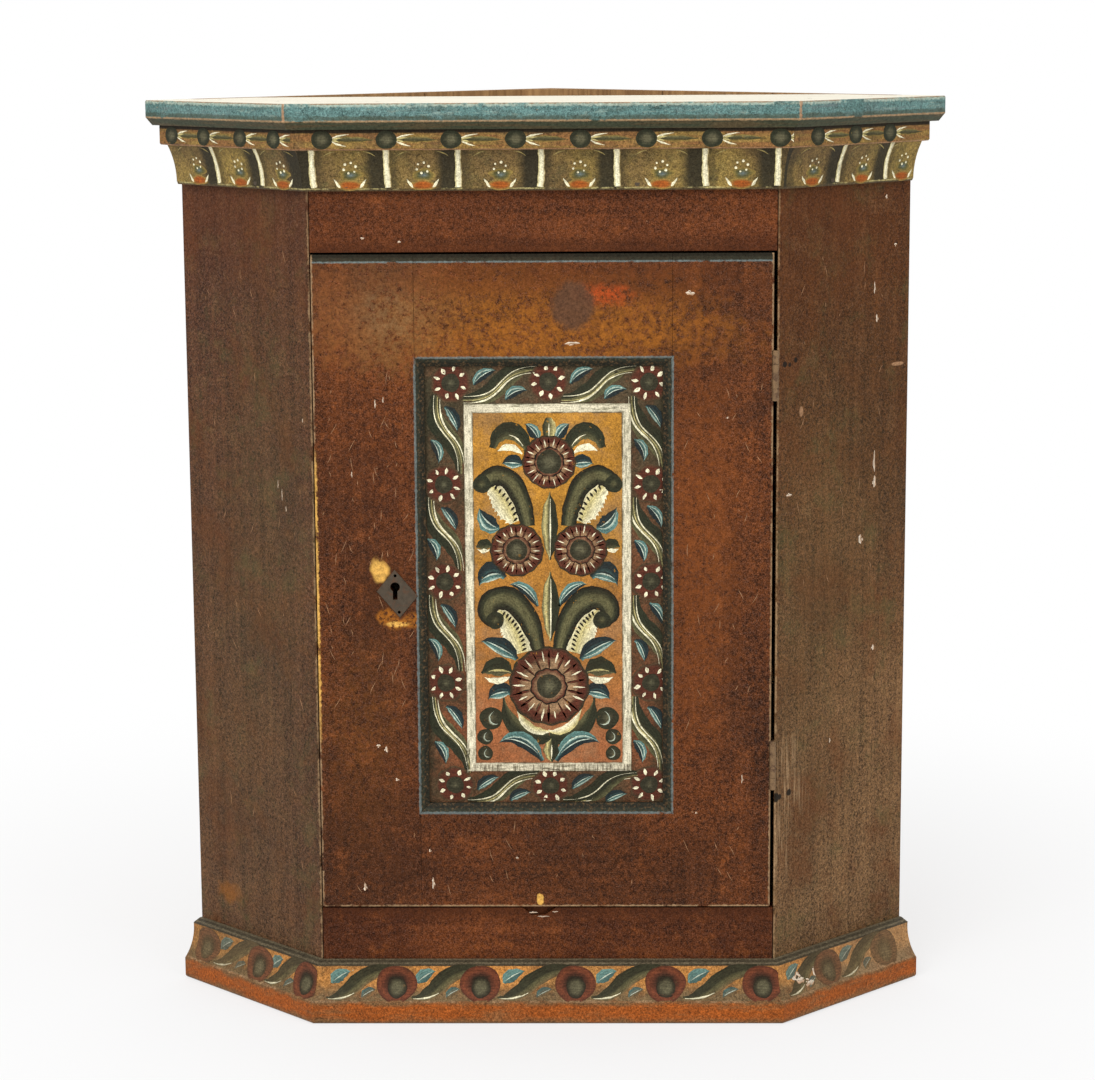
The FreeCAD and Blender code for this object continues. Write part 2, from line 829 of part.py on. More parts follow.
def door_panel():
    """The raised panel: bevelled on its four sides down to the tongue that lies in the groove."""
    body = new_body("door_panel")
    play = (dim("groove_width") - dim("panel_tongue")) / 2
    rear = door_front + dim("groove_front") + dim("groove_width") - play
    face = rear - dim("panel_tongue") - dim("panel_bevel_depth")
    tongue_face = rear - dim("panel_tongue")
    bevel = dim("panel_bevel")
    flat = dim("panel_flat")
    low = (dim("panel_shift") - dim("panel_width") / 2, dim("panel_middle") - dim("panel_height") / 2)
    high = (dim("panel_shift") + dim("panel_width") / 2, dim("panel_middle") + dim("panel_height") / 2)
    add(body, "XZ_Plane", face, rear, rectangle(low, high))
    for edge, inward in ((low[0], 1), (high[0], -1)):
        waste = [(edge, face), (edge + inward * bevel, face), (edge + inward * flat, tongue_face),
                 (edge, tongue_face)]
        cut(body, "XY_Plane", low[1], high[1], waste)
    for edge, inward in ((low[1], 1), (high[1], -1)):
        waste = [(face, edge), (face, edge + inward * bevel), (tongue_face, edge + inward * flat),
                 (tongue_face, edge)]
        cut(body, "YZ_Plane", low[0], high[0], waste)
    field = rectangle((low[0] + bevel, low[1] + bevel), (high[0] - bevel, high[1] - bevel))
    add(body, "XZ_Plane", face - dim("field_step"), face + dim("field_step"), field)


def escutcheon():
    """A hammered diamond round the keyhole, nailed on a little askew."""
    body = new_body("escutcheon")
    wide = dim("escutcheon_half_width")
    tall = dim("escutcheon_half_height")
    lean = dim("escutcheon_lean")
    x = key_x + dim("escutcheon_aside")
    z = key_z - dim("escutcheon_drop")
    face = door_front - dim("escutcheon_thickness")
    diamond = [(x - lean, z + tall), (x - wide, z + lean), (x + lean, z - tall), (x + wide, z - lean)]
    add(body, "XZ_Plane", face, door_front, diamond)
    chamfer(body, dim("escutcheon_edge"), lambda point: near(point.y, face.number))
    radius = dim("keyhole_radius") - gap
    slot = dim("keyhole_slot") / 2 - gap
    cut(body, "XZ_Plane", face - OVERCUT, door_front + OVERCUT, circle=((key_x, key_z), radius))
    cut(body, "XZ_Plane", face - OVERCUT, door_front + OVERCUT,
        rectangle((key_x - slot, key_z - dim("keyhole_drop") + gap), (key_x + slot, key_z)))
    tips = [(x - lean * 3 / 4, z + tall * 3 / 4), (x + lean * 3 / 4, z - tall * 3 / 4)]
    return [((tip_x, face, tip_z), (0, 1, 0)) for tip_x, tip_z in tips]


def lock_case():
    """The lock's sheet-iron tray, open towards the stile, with a flange above and below for nails."""
    body = new_body("lock_case")
    sheet_iron = dim("lock_sheet")
    end = dim("lock_flange_end")
    flange = dim("lock_flange")
    outer = rectangle((lock_left, lock_bottom), (lock_right, lock_top))
    add(body, "XZ_Plane", door_back, lock_back, outer)
    flanges = rectangle((lock_left + end, lock_bottom - flange), (lock_right - end, lock_top + flange))
    add(body, "XZ_Plane", door_back, door_back + sheet_iron, flanges)
    inner = rectangle((lock_left + sheet_iron, lock_bottom + sheet_iron),
                      (lock_right - sheet_iron, lock_top - sheet_iron))
    cut(body, "XZ_Plane", door_back - OVERCUT, lock_back - sheet_iron, inner)
    play = dim("bolt_play")
    mouth = rectangle((bolt_front - play, bolt_head_bottom - play), (bolt_back + play, bolt_head_top + play))
    cut(body, "YZ_Plane", lock_left - OVERCUT, lock_left + sheet_iron + OVERCUT, mouth)
    for x, z, radius in lock_pin_spots():
        cut(body, "XZ_Plane", lock_back - sheet_iron - OVERCUT, lock_back + OVERCUT,
            polygon((x, z), radius + gap / 4, SIDES))
    spots = []
    for x in (lock_left + 2 * end, lock_right - 2 * end):
        for z in (lock_bottom - flange / 2, lock_top + flange / 2):
            spots.append(((x, door_back + sheet_iron, z), (0, -1, 0)))
    return spots


def lock_pin_spots():
    """The key's drill pin and the stump that guides the bolt, as (x, z, radius)."""
    return [(key_x, key_z, dim("key_pin_radius")), (stump_x, bolt_middle, dim("stump_radius"))]


def lock_bolt():
    """The bolt: a head, a bar with a talon for the key, and a slot for the stump."""
    body = new_body("lock_bolt")
    head_end = lock_left + dim("bolt_head_length")
    bar_end = lock_left + dim("bolt_length")
    bar_top = dim("bolt_low") + dim("bolt_height")
    talon = dim("talon_width") / 2
    notch = dim("bolt_low") + dim("talon_depth")
    face = [
        (lock_left, bolt_head_bottom),
        (head_end, bolt_head_bottom),
        (head_end, dim("bolt_low")),
        (key_x - talon, dim("bolt_low")),
        (key_x - talon, notch),
        (key_x + talon, notch),
        (key_x + talon, dim("bolt_low")),
        (bar_end, dim("bolt_low")),
        (bar_end, bar_top),
        (head_end, bar_top),
        (head_end, bolt_head_top),
        (lock_left, bolt_head_top),
    ]
    add(body, "XZ_Plane", bolt_front, bolt_back, face)
    room = dim("stump_radius") + gap
    slot = rectangle((stump_x - room, bolt_middle - room),
                     (stump_x + dim("bolt_travel") + room, bolt_middle + room))
    cut(body, "XZ_Plane", bolt_front - OVERCUT, bolt_back + OVERCUT, slot)


def lock_spring():
    """The bowed leaf spring between the tray and the top of the bolt."""
    body = new_body("lock_spring")
    middle = lock_left + dim("spring_place")
    level = lock_top - dim("lock_sheet") - gap
    lowest = dim("bolt_low") + dim("bolt_height") + gap
    outer = dim("spring_radius")
    inner = outer - dim("spring_strip")
    centre_rise = lowest.number + outer.number - level.number
    outer_reach = math.sqrt(outer.number ** 2 - centre_rise ** 2)
    inner_reach = math.sqrt(inner.number ** 2 - centre_rise ** 2)
    bow = [(middle - outer_reach, level), (middle + outer_reach, level), (middle + inner_reach, level),
           (middle - inner_reach, level)]
    start = bolt_front + (dim("bolt_thickness") - dim("spring_width")) / 2
    add(body, "XZ_Plane", start, start + dim("spring_width"), bow, {0: (outer, 1), 2: (inner, -1)})


def hinge_leaf(label, low, face, own, wood):
    """A butt hinge's leaf: a plate against the wood at face, with its own knuckles about the pin.

    wood is 1 where the wood is on the right of the plate and -1 where it is on the left; the screw
    holes are countersunk on the other side.
    """
    body = new_body(label)
    plate = sorted([face, face - wood * dim("hinge_leaf")], key=lambda x: x.number)
    high = low + dim("hinge_height")
    add(body, "XY_Plane", low, high, rectangle((plate[0], leaf_start), (plate[1], leaf_stop)))
    for start, stop in own:
        add(body, "XY_Plane", start, stop, circle=((hinge_x, hinge_y), dim("knuckle_radius")))
        add(body, "XY_Plane", start, stop, rectangle((plate[0], hinge_y), (plate[1], leaf_start + OVERCUT)))
    cut(body, "XY_Plane", low - OVERCUT, high + OVERCUT,
        circle=((hinge_x, hinge_y), dim("hinge_pin_radius") + dim("hinge_pin_play")))
    radius = dim("screw_shank") + dim("screw_play")
    for y, z in screw_spots(low):
        cut(body, "YZ_Plane", plate[0], plate[1], polygon((y, z), radius, HEAD_SIDES))
    outside = plate[0] if wood > 0 else plate[1]

    def on_hole(point):
        reaches = [math.hypot(point.y - y.number, point.z - z.number) for y, z in screw_spots(low)]
        return near(point.x, outside.number) and min(reaches) < radius.number

    chamfer(body, dim("countersink"), on_hole)


def screw_spots(low):
    """Three screws of a leaf, as (y, z), with the middle one set further back."""
    middle = low + dim("hinge_height") / 2
    y = hinge_y + dim("screw_setback")
    spread = dim("screw_spread")
    step = spread / 4
    return [(y, middle - spread), (y + step, middle), (y, middle + spread)]


def hinges():
    """Two butt hinges; returns the places of the screws in the case and in the door."""
    case_screws = []
    door_screws = []
    quarter = dim("hinge_height") / 4
    play = dim("knuckle_play")
    for name, low in HINGES.items():
        high = low + dim("hinge_height")
        outer = [(low, low + quarter - play), (high - quarter + play, high)]
        middle = [(low + quarter + play, high - quarter - play)]
        hinge_leaf(f"{name}_hinge_case_leaf", low, half, outer, 1)
        hinge_leaf(f"{name}_hinge_door_leaf", low, door_right, middle, -1)
        pin = new_body(f"{name}_hinge_pin")
        add(pin, "XY_Plane", low, high + dim("pin_head_height"),
            circle=((hinge_x, hinge_y), dim("hinge_pin_radius")))
        add(pin, "XY_Plane", high + play / 2, high + dim("pin_head_height"),
            circle=((hinge_x, hinge_y), dim("knuckle_radius") - gap))
        for y, z in screw_spots(low):
            case_screws.append(((half - dim("hinge_leaf"), y, z), (1, 0, 0)))
            door_screws.append(((door_right + dim("hinge_leaf"), y, z), (-1, 0, 0)))
    return case_screws, door_screws


def forged_nail(name):
    """A nail with a square tapered shank and an eight-sided head, driven along -Z from the origin."""
    shank = doc.addObject("Part::Wedge", f"{name}_shank")
    for prop, size, sign in (("Xmin", "tip", -0.5), ("Xmax", "tip", 0.5), ("Zmin", "tip", -0.5),
                             ("Zmax", "tip", 0.5), ("X2min", "shank", -0.5), ("X2max", "shank", 0.5),
                             ("Z2min", "shank", -0.5), ("Z2max", "shank", 0.5)):
        bind(shank, prop, sign * dim(f"{name}_{size}"))
    bind(shank, "Ymin", -dim(f"{name}_length"))
    bind(shank, "Ymax", -dim(f"{name}_head_height") / 2)
    shank.Placement.Rotation = FreeCAD.Rotation(FreeCAD.Vector(1, 0, 0), 90)
    head = doc.addObject("Part::Prism", f"{name}_head")
    head.Polygon = SIDES
    bind(head, "Circumradius", dim(f"{name}_head"))
    bind(head, "Height", dim(f"{name}_head_height"))
    bind(head, "Placement.Base.z", -dim(f"{name}_head_height"))
    nail = doc.addObject("Part::Fuse", name)
    nail.Base = head
    nail.Tool = shank
    doc.recompute()
    return nail.Shape


def wood_screw():
    """A screw with a flat filed head, driven along -Z from the origin."""
    rings = []
    for name, height in (("screw_shank", -dim("hinge_leaf")), ("screw_head", sized(0))):
        ring = doc.addObject("Part::RegularPolygon", f"{name}_ring")
        ring.Polygon = HEAD_SIDES
        bind(ring, "Circumradius", dim(name))
        bind(ring, "Placement.Base.z", height)
        rings.append(ring)
    head = doc.addObject("Part::Loft", "screw_top")
    head.Sections = rings
    head.Solid = True
    head.Ruled = True
    shank = doc.addObject("Part::Prism", "screw_rod")
    shank.Polygon = SIDES
    bind(shank, "Circumradius", dim("screw_shank"))
    bind(shank, "Height", dim("screw_length") - dim("hinge_leaf"))
    bind(shank, "Placement.Base.z", -dim("screw_length"))
    screw = doc.addObject("Part::Fuse", "screw")
    screw.Base = head
    screw.Tool = shank
    doc.recompute()
    return screw.Shape


def group(label, pattern, spots):
    """Copies of one fastener as a node of separate solids; each spot is (place, driving direction)."""
    copies = []
    for place, direction in spots:
        base = FreeCAD.Vector(*[sized(value).number for value in place])
        copy = pattern.copy()
        copy.Placement = FreeCAD.Placement(
            base, FreeCAD.Rotation(FreeCAD.Vector(0, 0, -1), FreeCAD.Vector(*direction)))
        copies.append(copy)
    feature = keep(label, doc.addObject("Part::Feature", label))
    feature.Shape = Part.makeCompound(copies)
    feature.Placement = FreeCAD.Placement(FreeCAD.Vector(0, shift.number, 0), FreeCAD.Rotation())


def rod_group(label, start, stop, rods):
    """Eight-sided rods along Y as a node of separate solids; each rod is (x, z, radius)."""
    links = []
    for x, z, radius in rods:
        rod = doc.addObject("Part::Prism", f"{label}_rod")
        rod.Polygon = SIDES
        rod.Placement.Rotation = FreeCAD.Rotation(FreeCAD.Vector(1, 0, 0), -90)
        bind(rod, "Circumradius", radius)
        bind(rod, "Height", stop - start)
        bind(rod, "Placement.Base.x", x)
        bind(rod, "Placement.Base.y", start)
        bind(rod, "Placement.Base.z", z)
        links.append(rod)
    bundle = keep(label, doc.addObject("Part::Compound", label))
    bundle.Links = links
    bind(bundle, "Placement.Base.y", shift)


def on_cant_face(hand, along, out):
    """A point by its distance along a cant from the arris and its distance out of its face."""
    return (hand * (half + (along + out) * HALF_ROOT), (along - out) * HALF_ROOT)


def on_wall_face(hand, along):
    """A point on the outer face of a wall by its distance from the cant."""
    return (hand * (half + cant - along * HALF_ROOT), cant + along * HALF_ROOT)


def moulding_nails(height, out, shares):
    """Nails through the three lengths of a moulding, driven square to the face behind it."""
    front_shares, cant_shares = shares
    spots = [((share * half, -out, height), (0, 1, 0)) for share in front_shares]
    return spots + cant_nails(height, out, cant_shares)


def cant_nails(height, out, shares):
    """Nails driven square into both cants, from heads at the distance out of their faces."""
    spots = []
    for hand in (-1, 1):
        for share in shares:
            x, y = on_cant_face(hand, share * cant, out)
            spots.append(((x, y, height), (-hand, 1, 0)))
    return spots


def wall_nails(levels):
    """Nails driven through the wall planks from behind."""
    spots = []
    for hand in (-1, 1):
        for share in WALL_NAILS:
            x, y = on_wall_face(hand, share * wall_length)
            spots.extend(((x, y, level), (-hand, -1, 0)) for level in levels)
    return spots


def top_nails():
    """Nails driven down through the top board into the front rail and the side boards."""
    height = dim("total_height")
    front_shares, cant_shares = TOP_NAILS
    places = [(share * half, dim("rail_thickness") / 2) for share in front_shares]
    places += [on_cant_face(hand, share * cant, -side / 2) for hand in (-1, 1) for share in cant_shares]
    return [((x, y, height), (0, 0, -1)) for x, y in places]


def cleat_nails():
    """Nails driven through the shelf cleats into the wall planks, from inside the case."""
    inward = (back + dim("cleat_size")) * HALF_ROOT
    spots = []
    for shelf in (dim("lower_shelf_height"), dim("upper_shelf_height")):
        level = shelf - dim("cleat_size") / 2
        for hand in (-1, 1):
            for share in CLEAT_NAILS:
                x, y = on_wall_face(hand, share * wall_length)
                spots.append(((x - hand * inward, y - inward, level), (hand, 1, 0)))
    return spots


def short_nail(nail):
    """The nail of a cleat: cut off so that it stays inside the wall plank."""
    reach = (back + dim("cleat_size") - dim("nail_clear")).number
    width = dim("nail_head").number * 2
    keep_box = Part.makeBox(2 * width, 2 * width, reach, FreeCAD.Vector(-width, -width, -reach))
    return nail.common(keep_box)


def nails():
    nail = forged_nail("nail")
    cove_level = case_top - dim("cornice_height") + 2 * dim("cornice_lip")
    fillet_level = case_top - dim("cornice_fillet") / 2
    floor_level = floor_top - dim("floor_thickness") / 2
    ceiling_level = ceiling_top - dim("ceiling_thickness") / 2
    group("cornice_nails", nail,
          moulding_nails(cove_level, dim("cove_bottom") + gap, CORNICE_LOW_NAILS)
          + moulding_nails(fillet_level, dim("cornice_projection"), CORNICE_HIGH_NAILS))
    group("base_nails", nail, moulding_nails(dim("base_fillet") / 2, dim("base_projection"), BASE_NAILS))
    group("side_board_nails", nail, cant_nails(floor_level, 0, SIDE_NAILS))
    group("back_board_nails", nail, wall_nails((floor_level, ceiling_level)))
    group("top_board_nails", nail, top_nails())
    group("cleat_nails", short_nail(nail), cleat_nails())


def build():
    left_side_board()
    side_board("right_side_board", 1)
    front_rails()
    wall_planks()
    corner_post()
    decks()
    shelves()
    top_board()
    mouldings()
    left_stile()
    right_stile()
    door_rail("top", door_top, flat_top, sight_top)
    door_rail("bottom", door_bottom, flat_bottom, sight_bottom)
    door_panel()
    pegs = [(x, z, dim("peg_radius")) for x, z in peg_spots()]
    rod_group("door_pegs", door_back - dim("peg_depth"), door_back, pegs)
    pin_spots = escutcheon()
    lock_spots = lock_case()
    lock_bolt()
    lock_spring()
    rod_group("lock_pins", door_back + gap, lock_back, lock_pin_spots())
    brad = forged_nail("brad")
    group("escutcheon_pins", brad, pin_spots)
    group("lock_nails", brad, lock_spots)
    case_screws, door_screws = hinges()
    screw = wood_screw()
    group("hinge_case_screws", screw, case_screws)
    group("hinge_door_screws", screw, door_screws)
    nails()


def write_parts():
    """Write each sub-part once every object of the document is sound."""
    doc.recompute()
    for thing in doc.Objects:
        if "Invalid" in thing.State or "Error" in thing.State:
            raise RuntimeError(f"{thing.Name} ({thing.Label}) failed: {thing.State}")
    for thing in parts:
        if thing.Shape.isNull() or not thing.Shape.isValid():
            raise RuntimeError(f"{thing.Label} has no sound shape")
    os.makedirs("parts", exist_ok=True)
    for thing in parts:
        thing.Shape.exportStep(f"parts/{thing.Label}.step")


build()
write_parts()
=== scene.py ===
import math
import random

import bmesh
import bpy
from bpy.props import FloatProperty, FloatVectorProperty, PointerProperty
from mathutils import Matrix, Vector


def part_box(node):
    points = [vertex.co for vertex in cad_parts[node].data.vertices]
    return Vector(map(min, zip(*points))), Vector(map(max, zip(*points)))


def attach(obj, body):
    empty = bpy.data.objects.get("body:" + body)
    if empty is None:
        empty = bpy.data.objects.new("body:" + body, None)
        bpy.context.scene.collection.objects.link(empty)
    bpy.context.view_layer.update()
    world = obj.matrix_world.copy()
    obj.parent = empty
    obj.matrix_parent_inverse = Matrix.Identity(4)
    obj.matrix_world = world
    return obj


bl_info = {
    "name": "Painted Corner Cabinet",
    "version": (1, 0, 0),
    "blender": (4, 5, 0),
    "location": "View3D > Sidebar > Cabinet",
    "description": "Paints a folk-art corner cabinet over its measured frame and lights it",
    "category": "Object",
}

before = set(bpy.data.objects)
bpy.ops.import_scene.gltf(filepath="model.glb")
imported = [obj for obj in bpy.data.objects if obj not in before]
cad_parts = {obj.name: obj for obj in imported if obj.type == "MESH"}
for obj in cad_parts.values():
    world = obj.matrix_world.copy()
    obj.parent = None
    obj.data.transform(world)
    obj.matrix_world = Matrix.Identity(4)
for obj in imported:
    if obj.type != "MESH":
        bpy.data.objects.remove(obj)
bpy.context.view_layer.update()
MM = 0.001
SLANT = math.sqrt(0.5)

# Planes and edges of the frame that the paint follows.
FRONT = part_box("front_top_rail")[0].y
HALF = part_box("right_side_board")[0].x
DOOR_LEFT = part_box("door_stile_left")[0].x
DOOR_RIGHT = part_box("door_stile_right")[1].x
DOOR_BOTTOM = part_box("door_bottom_rail")[0].z
DOOR_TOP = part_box("door_top_rail")[1].z
DOOR_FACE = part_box("door_top_rail")[0].y
PANEL_LOW, PANEL_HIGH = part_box("door_panel")
TOP_LOW, TOP_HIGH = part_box("top_board")
CORNICE_LOW, CORNICE_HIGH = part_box("cornice_front")
BASE_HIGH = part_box("base_moulding_front")[1].z

# The sight edge of the door frame outside its bevel, and the rebate along the door's upper edge.
SIGHT = (-127 * MM, 215 * MM, 126 * MM, 675 * MM)
SIGHT_BEVEL = 9 * MM
DOOR_REBATE = 7.2 * MM
# The panel's raised field lies inside its bevelled border.
PANEL_BEVEL = 44 * MM
PANEL_TONGUE = 13 * MM
BORDER_FALL = 6 * MM
FIELD_STEP = 1.6 * MM
FIELD_X = (PANEL_LOW.x + PANEL_HIGH.x) / 2
FIELD_Z = (PANEL_LOW.z + PANEL_HIGH.z) / 2
FIELD_HALF = (PANEL_HIGH.x - FIELD_X - PANEL_BEVEL, PANEL_HIGH.z - FIELD_Z - PANEL_BEVEL)
# Sections of the mouldings: the ends of each cove as (out, height), and its radius.
CORNICE_COVE = ((10 * MM, 841 * MM), (20.5 * MM, 877.75 * MM), 74 * MM)
BASE_COVE = ((22.5 * MM, 23.5 * MM), (11.5 * MM, 58 * MM), 47 * MM)
CORNICE_FILLET = 30 * MM
FILLET_LOW = 878.5 * MM
BASE_NECK = 58 * MM
BASE_FILLET = 23.5 * MM
# Arris over the bevel under the top board, and how far its corners stand beyond the sides' front arrises.
TOP_ARRIS = TOP_LOW.z + 8 * MM
TOP_CORNER = HALF + 17.8 * MM
# Painted length of a return, and the run of stripes, balls, rosettes and base scrolls from the middle of the
# front, the length that a base scroll is drawn with, and the nails as (run, height).
RETURN = 191 * MM
STRIPES = (-354, -284, -222, -150, -81, -1, 72, 157, 227, 304, 376)
BALLS = (-404, -352, -294, -242, -211, -149, -87, -25, 37, 100, 163, 228, 251, 307, 359)
ROSETTES = {-1: (-402, -314, -238), 0: (-153, -68, 28, 119, 217), 1: (297, 387)}
SCROLL_STARTS = {-1: (-402, -314), 0: (-240, -153, -68, 28, 119), 1: (217, 297)}
SCROLL_LENGTH = 89
BASE_NAILS = [(run, 11.75) for run in (-384.7, -278.2, -171.4, 22.9, 182.8, 278.2, 384.7)]
SIDE_NAILS = [(run, 102) for run in (-391.8, -292.4, 292.4, 391.8)]

# The palette: what each paint is for, and its red, green and blue as a screen shows them.
PAINTS = {
    "rail_red": ("Front rails of the case", 95, 50, 22),
    # The rails' darker paint also makes the painted shade along their seams with the door.
    "rail_shade": ("Darker patches of the front rails", 66, 33, 15),
    "left_brown": ("Left canted side", 79, 48, 30),
    "left_shade": ("Darker patches of the left side", 61, 40, 30),
    "right_brown": ("Right canted side", 80, 44, 15),
    "right_shade": ("Darker patches of the right side", 68, 42, 20),
    "dust": ("Dry, dusty paint", 118, 89, 58),
    "door_red": ("Door frame", 92, 48, 19),
    "door_shade": ("Darker patches of the door frame", 62, 34, 16),
    "door_glow": ("Warmer patches of the door frame", 122, 66, 27),
    "golden": ("Thin paint worn to a golden ground", 146, 88, 29),
    "scuff": ("Bare places beside the keyhole", 216, 166, 82),
    "chip": ("Small pale chips", 168, 128, 94),
    "arris": ("Worn edges", 160, 130, 96),
    "sight_green": ("Bevel round the panel and upper edge of the door", 46, 48, 38),
    "slate": ("Blue-grey lining", 104, 116, 114),
    "stain": ("Dark round stain on the door", 88, 60, 42),
    "flower_orange": ("Bright patch on the door", 172, 70, 28),
    "top_blue": ("Edge of the top board", 98, 130, 126),
    "top_green": ("Bevel under the top board", 64, 68, 52),
    "top_cream": ("Scrubbed upper face of the top board", 252, 246, 226),
    "border_brown": ("Dark ground of the panel's border", 80, 66, 46),
    "border_rust": ("Warm ground of the panel's border", 122, 72, 44),
    "band_cream": ("Band round the panel's field", 232, 222, 192),
    "field_ochre": ("Upper ground of the field", 179, 126, 48),
    "field_orange": ("Lower ground of the field", 160, 98, 60),
    "cove_olive": ("Cells of the cornice", 146, 122, 64),
    "cove_shade": ("Brown patches of the cells", 98, 76, 50),
    "cove_moss": ("Green patches of the cells", 88, 86, 52),
    # The dark of these bands also makes the painted shadow under the top board.
    "cove_dark": ("Bands between the cells", 46, 43, 32),
    "fillet_rust": ("Upper fillet of the cornice", 132, 93, 55),
    "base_ochre": ("Ground of the base frieze", 198, 134, 66),
    "base_brown": ("Darker ground low on the frieze", 112, 90, 60),
    "base_orange": ("Fillet on the floor", 156, 82, 32),
    "base_neck": ("Band over the frieze", 104, 94, 74),
    "leaf_green": ("Dark side of leaves", 46, 48, 34),
    "leaf_olive": ("Light side of leaves", 96, 92, 62),
    "leaf_blue": ("Blue leaves", 68, 98, 94),
    "leaf_navy": ("Dark side of blue leaves", 36, 46, 47),
    "leaf_teal": ("Light side of blue leaves", 102, 138, 130),
    "leaf_pale": ("Light strokes in blue leaves", 196, 206, 186),
    "cream": ("Cream strokes", 236, 228, 192),
    "yellow": ("Yellowish cream strokes", 196, 182, 122),
    "flower_red": ("Petals", 88, 46, 33),
    "flower_rust": ("Warm petals of the base", 116, 60, 38),
    "flower_light": ("Light ring of a flower", 152, 120, 88),
    "flower_heart": ("Dark of a flower's eye", 54, 52, 38),
    "flower_eye": ("Light of a flower's eye", 92, 88, 66),
    # This dark paint makes fine strokes, and also the painted shade and shadows in the bevel round the panel
    # and under the top rail, the top board and the bottom rail.
    "ink": ("Fine dark strokes", 30, 26, 20),
    "dirt": ("Dirt in the old varnish", 48, 38, 26),
    "fleck": ("Splashes of pale paint", 220, 208, 188),
    "pine": ("Bare pine", 188, 148, 100),
    "pine_dark": ("Late wood and dirt of the pine", 126, 90, 56),
    "iron": ("Hand-forged iron", 78, 68, 56),
    "rust": ("Rusted patches", 84, 62, 46),
    "steel": ("Worn metal of the hinges", 122, 96, 68),
}


def paint_tone(name, use, *levels):
    """A colour of the palette, written as a screen shows it."""
    label = name.replace("_", " ").capitalize()
    return FloatVectorProperty(name=label, description=use, subtype="COLOR_GAMMA", size=3, min=0, max=1,
                               default=[level / 255 for level in levels])


def length(name, description, millimetres):
    """A size of the paint work, written in millimetres."""
    return FloatProperty(name=name, description=description, default=millimetres * MM, min=0,
                         unit="LENGTH", subtype="DISTANCE")


class CabinetColours(bpy.types.PropertyGroup):
    """Paints, woods and metals of the cabinet."""

    __annotations__ = {name: paint_tone(name, *row) for name, row in PAINTS.items()}


class CabinetSizes(bpy.types.PropertyGroup):
    """Sizes of the paint layers."""

    band_width: length("Band width", "Width of the cream band round the field", 8.5)
    stroke_lift: length("Stroke lift", "Height of the lowest coat of brushwork over its ground", 0.10)
    coat_step: length("Coat step", "Height of each further coat of brushwork", 0.07)
    stroke_body: length("Stroke body", "Thickness of a brush stroke", 0.16)
    stripe_width: length("Stripe width", "Width of the cornice's cream stripes", 6.4)
    arris_width: length("Arris width", "Width of a worn edge", 1.6)


class CabinetStage(bpy.types.PropertyGroup):
    """Camera and light."""

    eye: FloatVectorProperty(name="Eye", description="Place of the camera", size=3, subtype="TRANSLATION",
                             unit="LENGTH", default=(0.055, -3.10175, 1.005))
    turn: FloatVectorProperty(name="Turn", description="Turn, tilt and roll of the camera", size=3,
                              subtype="EULER", unit="ROTATION",
                              default=(math.radians(1.05), math.radians(79.88), math.radians(-0.36)))
    lens: FloatProperty(name="Lens", description="Focal length for a 36 mm sensor", default=96.755,
                        subtype="DISTANCE_CAMERA", unit="CAMERA")
    sky: FloatProperty(name="Sky", description="Strength of the even light all round", default=0.72)
    key: FloatProperty(name="Key", description="Power of the large soft lamp", default=62, unit="POWER")
    fill: FloatProperty(name="Fill", description="Power of the smaller soft lamp", default=22, unit="POWER")


def tone(name):
    """A paint of the palette as the linear colour that shader nodes take."""
    shown = getattr(bpy.context.scene.cabinet_colours, name)
    linear = [part / 12.92 if part <= 0.04045 else ((part + 0.055) / 1.055) ** 2.4 for part in shown]
    return (*linear, 1.0)


class Value:
    """What a node gives. A sum with it adds a node to the same tree and gives that node's value."""

    def __init__(self, nodes, socket):
        self.nodes = nodes
        self.socket = socket

    def __add__(self, other):
        return self.nodes.math("ADD", self, other)

    def __sub__(self, other):
        return self.nodes.math("SUBTRACT", self, other)

    def __rsub__(self, other):
        return self.nodes.math("SUBTRACT", other, self)

    def __mul__(self, other):
        return self.nodes.math("MULTIPLY", self, other)

    def __truediv__(self, other):
        return self.nodes.math("DIVIDE", self, other)

    def __abs__(self):
        return self.nodes.math("ABSOLUTE", self)

    def scaled(self, factor, added):
        return self.nodes.math("MULTIPLY_ADD", self, factor, added)

    def least(self, other):
        return self.nodes.math("MINIMUM", self, other)

    def most(self, other):
        return self.nodes.math("MAXIMUM", self, other)

    def stretched(self, scales):
        return self.nodes.vector("MULTIPLY", self, scales)

    def noise(self, scale, detail=3.0, roughness=0.6):
        values = {"Vector": self, "Scale": scale, "Detail": detail, "Roughness": roughness}
        return self.nodes.take(self.nodes.add("ShaderNodeTexNoise", values))

    def step(self, low, high):
        """0 below low and 1 above high, with a smooth rise between; low may be above high."""
        ends = (low, high, 0.0, 1.0) if low < high else (high, low, 1.0, 0.0)
        spread = dict(enumerate((self, *ends)))
        return self.nodes.take(self.nodes.add("ShaderNodeMapRange", spread, interpolation_type="SMOOTHSTEP"))


